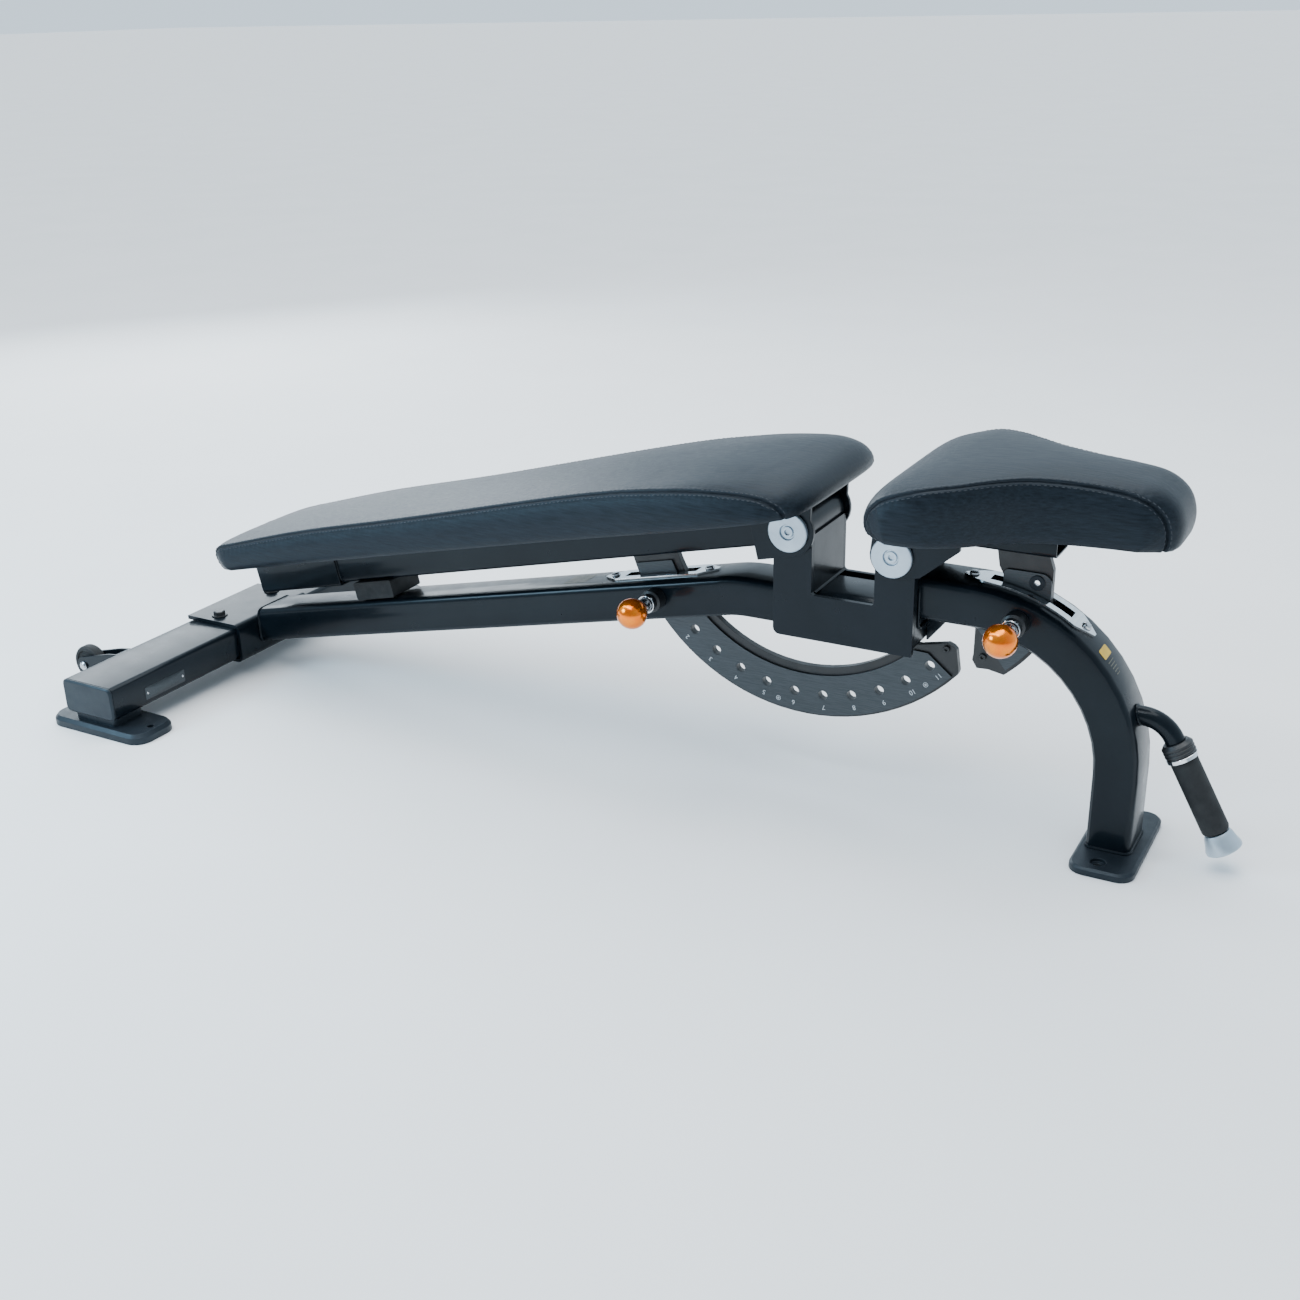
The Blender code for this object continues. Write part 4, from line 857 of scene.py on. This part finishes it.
def plate_on(name, across, along, radius, thick, surface, material, body):
    """A thin rounded plate laid on a surface given as a function of (along, across)."""
    model = bmesh.new()
    loop = rounded_loop(along / 2, across / 2, radius)
    rings = []
    for lift, shrink in ((-0.2, 1.0), (0.7, 1.0), (1.0, 1 - 0.5 * thick / across)):
        ring = []
        for u, v in loop:
            point, normal = surface(u * shrink, v * shrink)
            ring.append(model.verts.new(point + normal * thick * lift))
        rings.append(ring)
    ring_faces(model, rings)
    model.faces.new(rings[0][::-1])
    centre, normal = surface(0, 0)
    peak = model.verts.new(centre + normal * thick)
    for i, point in enumerate(rings[-1]):
        model.faces.new((point, rings[-1][(i + 1) % len(loop)], peak))
    return new_piece(name, mesh_from(name, model), material, body)


# ---------------------------------------------------------------- sector plate markings
NUMBER_CIRCLE = 0.2372
FIRST_HOLE = math.radians(-57.5) - DECLINE    # from straight down, in the backrest's own frame
FIRST_STEP = math.radians(15.5)
STEP = math.radians(9.68)
POSITIONS = 11
FACE_FRONT_Y = -0.0060
MARK_THICK = 0.08 * MM
DIGIT_SIZE = 8.5 * MM


def sector_place(angle, radius):
    """A place on the face plate: x to the right of an upright number, y outward."""
    outward = Vector((math.sin(angle), 0, -math.cos(angle)))
    normal = Vector((0, -1, 0))
    across = outward.cross(normal)
    place = Matrix((across, outward, normal)).transposed().to_4x4()
    place.translation = outward * radius + Vector((0, FACE_FRONT_Y - MARK_THICK, 0))
    return BACK_PLACE @ place


def make_numbers():
    """Position numbers outside the holes, and two ringed dots between them."""
    travel = [0.0] + [FIRST_STEP + STEP * i for i in range(POSITIONS - 1)]
    for i, turn in enumerate(travel):
        curve = bpy.data.curves.new("number", "FONT")
        curve.body = str(i + 1)
        curve.size = DIGIT_SIZE
        curve.align_x = "CENTER"
        curve.align_y = "CENTER"
        curve.extrude = MARK_THICK
        text = add_object("number", curve)
        shown = text.evaluated_get(bpy.context.evaluated_depsgraph_get())
        mesh = bpy.data.meshes.new_from_object(shown)
        bpy.data.objects.remove(text, do_unlink=True)
        mesh.transform(sector_place(FIRST_HOLE + turn, NUMBER_CIRCLE))
        mesh.materials.clear()
        new_piece("position_number_%d" % (i + 1), mesh, MARK, "backrest", smooth=False)
    for name, after in (("flat_mark", 5), ("upright_mark", 10)):
        angle = FIRST_HOLE + FIRST_STEP + STEP * (after - 1.5)
        place = sector_place(angle, NUMBER_CIRCLE)
        ring_piece(name + "_ring", 2.5 * MM, 3.1 * MM, (-MARK_THICK, MARK_THICK), place, MARK,
                   "backrest")
        ring_piece(name + "_dot", 0.5 * MM, 1.4 * MM, (-MARK_THICK, MARK_THICK), place, MARK,
                   "backrest")


# ---------------------------------------------------------------- fittings
# Places along the bench are measured from the crossbar's rear face, heights from the floor.
TUBE_CORNER = 0.009
CROSSBAR_FRONT = 0.090
LEG_ARC = (1.158, 0.098)              # centre of the leg's bend
LEG_OUTSIDE = 0.199
LEG_INSIDE = 0.149
TUBE_HALF_WIDTH = 0.035               # of the spine and the leg
TUBE_HALF_DEPTH = 0.025
SPINE_SLOPE = math.radians(12.6)
SPINE_START = (0.0965, 0.090)
SPINE_WELD_X = 0.0980
SPINE_WELD_LIFT = 0.5 * MM            # of its lower run above the spine's underside
LEG_WELD_X = 1.1010
FOOT_WELD_X = 1.332
FOOT_WELD_Z = 0.0105
NOTCH_WELDS = {"rear_notch_weld": 0.9770, "front_notch_weld": 1.0525}
NOTCH_FLOOR = 0.2622
NOTCH_HALF_WIDTH = 0.0435
NOTCH_WELD_RADIUS = 0.0022
SLEEVE_END = -0.7190                  # the sleeve's numbers are in the backrest's own frame
SLEEVE_HALF_WIDTH = 0.0252
SLEEVE_LOW = -0.0237
SLEEVE_HIGH = 0.0241
SLEEVE_BOLT = (-0.777, -0.0288, 0.015)
STOP_SCREW_Y = -0.0030
BACK_STOP_SCREW = (1.1255, STOP_SCREW_Y, 0.2050)
SEAT_STOP_SCREW = (1.1680, STOP_SCREW_Y, 0.2030)
SIGHT_HOLE_CIRCLE = 0.151
SIGHT_HOLE_DROP = math.radians(9.2)
SIGHT_HOLE_Y = -0.0060
DATA_PLATE_Y = -0.2195
DATA_PLATE_Z = 0.043
RIVET_REACH = 0.0325
HANDLE_DROP = math.radians(61)
HANDLE_RADIUS = 0.011
HANDLE_START_Z = 0.166
HANDLE_RISE = math.asin((HANDLE_START_Z - LEG_ARC[1]) / LEG_OUTSIDE)
HANDLE_STUB = 0.0051                  # straight part before the bend
HANDLE_BEND = 0.039
HANDLE_WELD_LIFT = 0.8 * MM           # of its middle above the leg's face


def leg_surface(degrees, middle_y):
    """The leg's outer face about one point."""
    def surface(along, across):
        angle = math.radians(degrees) - along / LEG_OUTSIDE
        normal = Vector((math.cos(angle), 0, math.sin(angle)))
        centre = from_rear(LEG_ARC[0], middle_y + across, LEG_ARC[1])
        return centre + normal * LEG_OUTSIDE, normal
    return surface


def spine_surface(x, middle_y):
    """The sloping top of the spine about one point."""
    uphill = Vector((math.cos(SPINE_SLOPE), 0, math.sin(SPINE_SLOPE)))
    normal = Vector((-uphill.z, 0, uphill.x))
    start = from_rear(x, middle_y, SPINE_START[1] + (x - SPINE_START[0]) * math.tan(SPINE_SLOPE))

    def surface(along, across):
        return start + uphill * along + Vector((0, across, 0)), normal
    return surface


def crossbar_surface(middle_y, middle_z):
    """The crossbar's front face about one point."""
    def surface(along, across):
        point = from_rear(CROSSBAR_FRONT, middle_y + along, middle_z + across)
        return point, Vector((1, 0, 0))
    return surface


def make_labels():
    """Blank films and a blank data plate where the bench carries printed ones."""
    plate_on("leg_label", 25 * MM, 12 * MM, 2 * MM, 0.15 * MM, leg_surface(43.2, -0.004), YELLOW,
             "frame")
    for i in range(5):
        plate_on("leg_label_rule_%d" % (i + 1), (19 - 2 * i) * MM, 1.1 * MM, 0.4 * MM, 0.1 * MM,
                 leg_surface(40.0 - 1.1 * i, -0.006), BRONZE, "frame")
    plate_on("spine_label", 32 * MM, 34 * MM, 1.5 * MM, 0.15 * MM, spine_surface(0.631, 0.002),
             BRONZE, "frame")
    plate_on("data_plate", 18 * MM, 73 * MM, 2 * MM, 0.5 * MM,
             crossbar_surface(DATA_PLATE_Y, DATA_PLATE_Z), FINISHES["brushed"], "frame")
    for side in (-1, 1):
        place = facing(from_rear(CROSSBAR_FRONT + 0.5 * MM, DATA_PLATE_Y + side * RIVET_REACH,
                                 DATA_PLATE_Z), (1, 0, 0))
        rivet = [(1.9 * MM, -0.1 * MM), (1.8 * MM, 0.4 * MM), (1.3 * MM, 0.8 * MM),
                 (0.6 * MM, 0.95 * MM), (0.1 * MM, 1.0 * MM)]
        revolve("data_plate_rivet_%d" % (side + 2), rivet, place, FINISHES["zinc"], "frame",
                20)


def tube_loop(half_wide, half_high, place):
    """A tube's rounded outline, put in place."""
    loop = rounded_loop(half_wide, half_high, TUBE_CORNER)
    return [place @ Vector((u, v, 0)) for u, v in loop]


def make_welds():
    """Weld beads where tubes and plates meet."""
    forward = Matrix(((0, 0, 1), (1, 0, 0), (0, 1, 0))).to_4x4()
    spine_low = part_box("rear_spine")[0].z
    middle = (SPINE_START[1] + SPINE_WELD_LIFT + spine_low) / 2
    place = Matrix.Translation(from_rear(SPINE_WELD_X, 0, middle)) @ forward
    bead("spine_weld", tube_loop(TUBE_HALF_WIDTH, SPINE_START[1] - middle, place),
         Vector((1, 0, 0)), 1.9 * MM, "frame")
    reach = LEG_ARC[0] - LEG_WELD_X
    top = LEG_ARC[1] + math.sqrt(LEG_OUTSIDE ** 2 - reach ** 2)
    bottom = LEG_ARC[1] + math.sqrt(LEG_INSIDE ** 2 - reach ** 2)
    place = Matrix.Translation(from_rear(LEG_WELD_X, 0, (top + bottom) / 2)) @ forward
    bead("leg_weld", tube_loop(TUBE_HALF_WIDTH, (top - bottom) / 2, place), Vector((1, 0, 0)),
         1.9 * MM, "frame")
    place = Matrix.Translation(from_rear(FOOT_WELD_X, 0, FOOT_WELD_Z))
    bead("foot_weld", tube_loop(TUBE_HALF_DEPTH, TUBE_HALF_WIDTH, place), Vector((0, 0, 1)),
         2.0 * MM, "frame")
    for name, x in NOTCH_WELDS.items():
        ends = [from_rear(x, y, NOTCH_FLOOR + NOTCH_WELD_RADIUS / 4)
                for y in (-NOTCH_HALF_WIDTH, NOTCH_HALF_WIDTH)]
        bead(name, ends, Vector((0, 0, 1)), NOTCH_WELD_RADIUS, "frame", closed=False)
    outward = Vector((math.cos(HANDLE_RISE), 0, math.sin(HANDLE_RISE)))
    centre = from_rear(LEG_ARC[0], 0, LEG_ARC[1])
    place = facing(centre + outward * (LEG_OUTSIDE + HANDLE_WELD_LIFT), outward)
    circle = [place @ Vector((HANDLE_RADIUS * math.cos(turn), HANDLE_RADIUS * math.sin(turn), 0))
              for turn in turns(24)]
    bead("handle_weld", circle, outward, 1.8 * MM, "frame")
    middle = (SLEEVE_LOW + SLEEVE_HIGH) / 2
    place = BACK_PLACE @ Matrix.Translation((SLEEVE_END, 0, middle)) @ forward
    bead("sleeve_weld", tube_loop(SLEEVE_HALF_WIDTH, (SLEEVE_HIGH - SLEEVE_LOW) / 2, place),
         BACK_PLACE.to_3x3() @ Vector((1, 0, 0)), 1.3 * MM, "backrest")


def make_fittings():
    """Bolts, a bushing and bright rings."""
    steel = FINISHES["black_steel"]
    near_side = (0, -1, 0)
    screws = (("sleeve_bolt", BACK_PLACE @ Vector(SLEEVE_BOLT), 4.8 * MM, 3.2 * MM, "backrest"),
              ("back_stop_screw", from_rear(*BACK_STOP_SCREW), 4.0 * MM, 3.0 * MM, "backrest"),
              ("seat_stop_screw", from_rear(*SEAT_STOP_SCREW), 4.0 * MM, 3.0 * MM, "seat"))
    for name, spot, radius, height, body in screws:
        socket_screw(name, radius, height, facing(spot, near_side), steel, body)
    spot = SEAT_PIVOT + Vector((SIGHT_HOLE_CIRCLE * math.cos(SIGHT_HOLE_DROP), SIGHT_HOLE_Y,
                                -SIGHT_HOLE_CIRCLE * math.sin(SIGHT_HOLE_DROP)))
    ring_piece("sight_hole_bushing", 3.2 * MM, 8.6 * MM, (-1.5 * MM, 1.6 * MM),
               facing(spot, near_side), FINISHES["plastic"], "seat")
    bend_x = LEG_ARC[0] + LEG_OUTSIDE * math.cos(HANDLE_RISE) + HANDLE_STUB
    bend_end = from_rear(bend_x + HANDLE_BEND * math.sin(HANDLE_DROP), 0,
                         HANDLE_START_Z - HANDLE_BEND * (1 - math.cos(HANDLE_DROP)))
    along = Vector((math.cos(HANDLE_DROP), 0, -math.sin(HANDLE_DROP)))
    ring_piece("collar_ring", 0.0168, 0.0177, (0.0203, 0.0247), facing(bend_end, along),
               FINISHES["polished"], "frame")
    for pin in ("back_pin", "seat_pin"):
        low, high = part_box(pin + "_housing")
        spot = Vector(((low.x + high.x) / 2, low.y - 0.0004, (low.z + high.z) / 2))
        ring_piece(pin + "_neck_ring", 0.0098, 0.0112, (-0.0022, 0.0006),
                   facing(spot, near_side), FINISHES["polished"], "frame")


def make_camera():
    """The photograph's viewpoint."""
    azimuth = math.radians(29.54)
    pitch = math.radians(22.71)
    roll = math.radians(-1.35)
    back = Vector((math.sin(azimuth) * math.cos(pitch), -math.cos(azimuth) * math.cos(pitch),
                   math.sin(pitch)))
    right = Vector((math.cos(azimuth), math.sin(azimuth), 0))
    up = back.cross(right)
    turned_right = right * math.cos(roll) + up * math.sin(roll)
    turned_up = up * math.cos(roll) - right * math.sin(roll)
    data = bpy.data.cameras.new("camera")
    data.sensor_width = 36.0
    data.lens = 43.2
    camera = add_object("camera", data)
    place = Matrix((turned_right, turned_up, back)).transposed().to_4x4()
    place.translation = Vector((0.9549, -1.6019, 0.9006))
    camera.matrix_world = place
    bpy.context.scene.camera = camera


def make_studio():
    """Pale floor, bright surroundings and soft lights."""
    model = bmesh.new()
    bmesh.ops.create_grid(model, x_segments=8, y_segments=8, size=60.0)
    mesh = bpy.data.meshes.new("floor")
    model.to_mesh(mesh)
    model.free()
    floor = add_object("floor", mesh)
    paper = Finish("studio_floor", Roughness=0.9, Specular_IOR_Level=0.1)
    mesh.materials.append(paper.finish(
        Base_Color=paper.blend(paper.noise(3.0), (0.86, 0.865, 0.87), (0.88, 0.885, 0.89))))

    world = bpy.data.worlds.new("studio")
    world.use_nodes = True
    bpy.context.scene.world = world
    tree = world.node_tree
    direction = tree.nodes.new("ShaderNodeTexCoord")
    parts = tree.nodes.new("ShaderNodeSeparateXYZ")
    tree.links.new(direction.outputs["Generated"], parts.inputs[0])
    ramp = tree.nodes.new("ShaderNodeMapRange")
    ramp.inputs["From Min"].default_value = -0.8
    ramp.inputs["From Max"].default_value = 0.5
    ramp.inputs["To Min"].default_value = 0.55
    ramp.inputs["To Max"].default_value = 1.35
    tree.links.new(parts.outputs["Y"], ramp.inputs["Value"])
    background = tree.nodes["Background"]
    background.inputs["Color"].default_value = (0.70, 0.86, 1.0, 1.0)
    tree.links.new(ramp.outputs["Result"], background.inputs["Strength"])

    sun = bpy.data.lights.new("sky", "SUN")
    sun.energy = 2.2
    sun.angle = math.radians(50)
    lamp = add_object("sky", sun)
    lamp.rotation_euler = (math.radians(6), math.radians(-6), 0)

    lights = (("overhead", (0.1, 0.9, 2.4), (0.0, 0.0, 0.2), (2.0, 2.0), 30.0,
               (0.95, 0.98, 1.0)),
              ("rear_left", (-2.4, 1.6, 1.3), (-0.4, 0.0, 0.1), (1.6, 1.6), 40.0,
               (0.86, 0.94, 1.0)),
              ("strip", (-1.2, -0.8, 1.9), (-1.0, 0.0, 0.2), (3.6, 0.22), 26.0,
               (0.86, 0.94, 1.0)),
              ("front_left", (-1.6, -1.5, 1.2), (-0.5, 0.0, 0.25), (0.9, 0.6), 34.0,
               (0.50, 0.78, 1.0)))
    for name, place, aim, size, power, colour in lights:
        data = bpy.data.lights.new(name, "AREA")
        data.shape = "RECTANGLE"
        data.size, data.size_y = size
        data.energy = power
        data.color = colour
        lamp = add_object(name, data)
        lamp.location = place
        lamp.rotation_euler = (Vector(aim) - Vector(place)).to_track_quat("-Z", "Y").to_euler()


dress_cad()
make_pad("backrest_cushion", BACK_SEAM, BACK_UNDERSIDE, BACK_COLUMNS, BACK_PLACE, "backrest",
         ("backrest_pad", "backrest_board"))
make_pad("seat_cushion", SEAT_SEAM, SEAT_UNDERSIDE, SEAT_COLUMNS, SEAT_PLACE, "seat",
         ("seat_pad", "seat_board"))
make_numbers()
make_labels()
make_welds()
make_fittings()
make_camera()
make_studio()
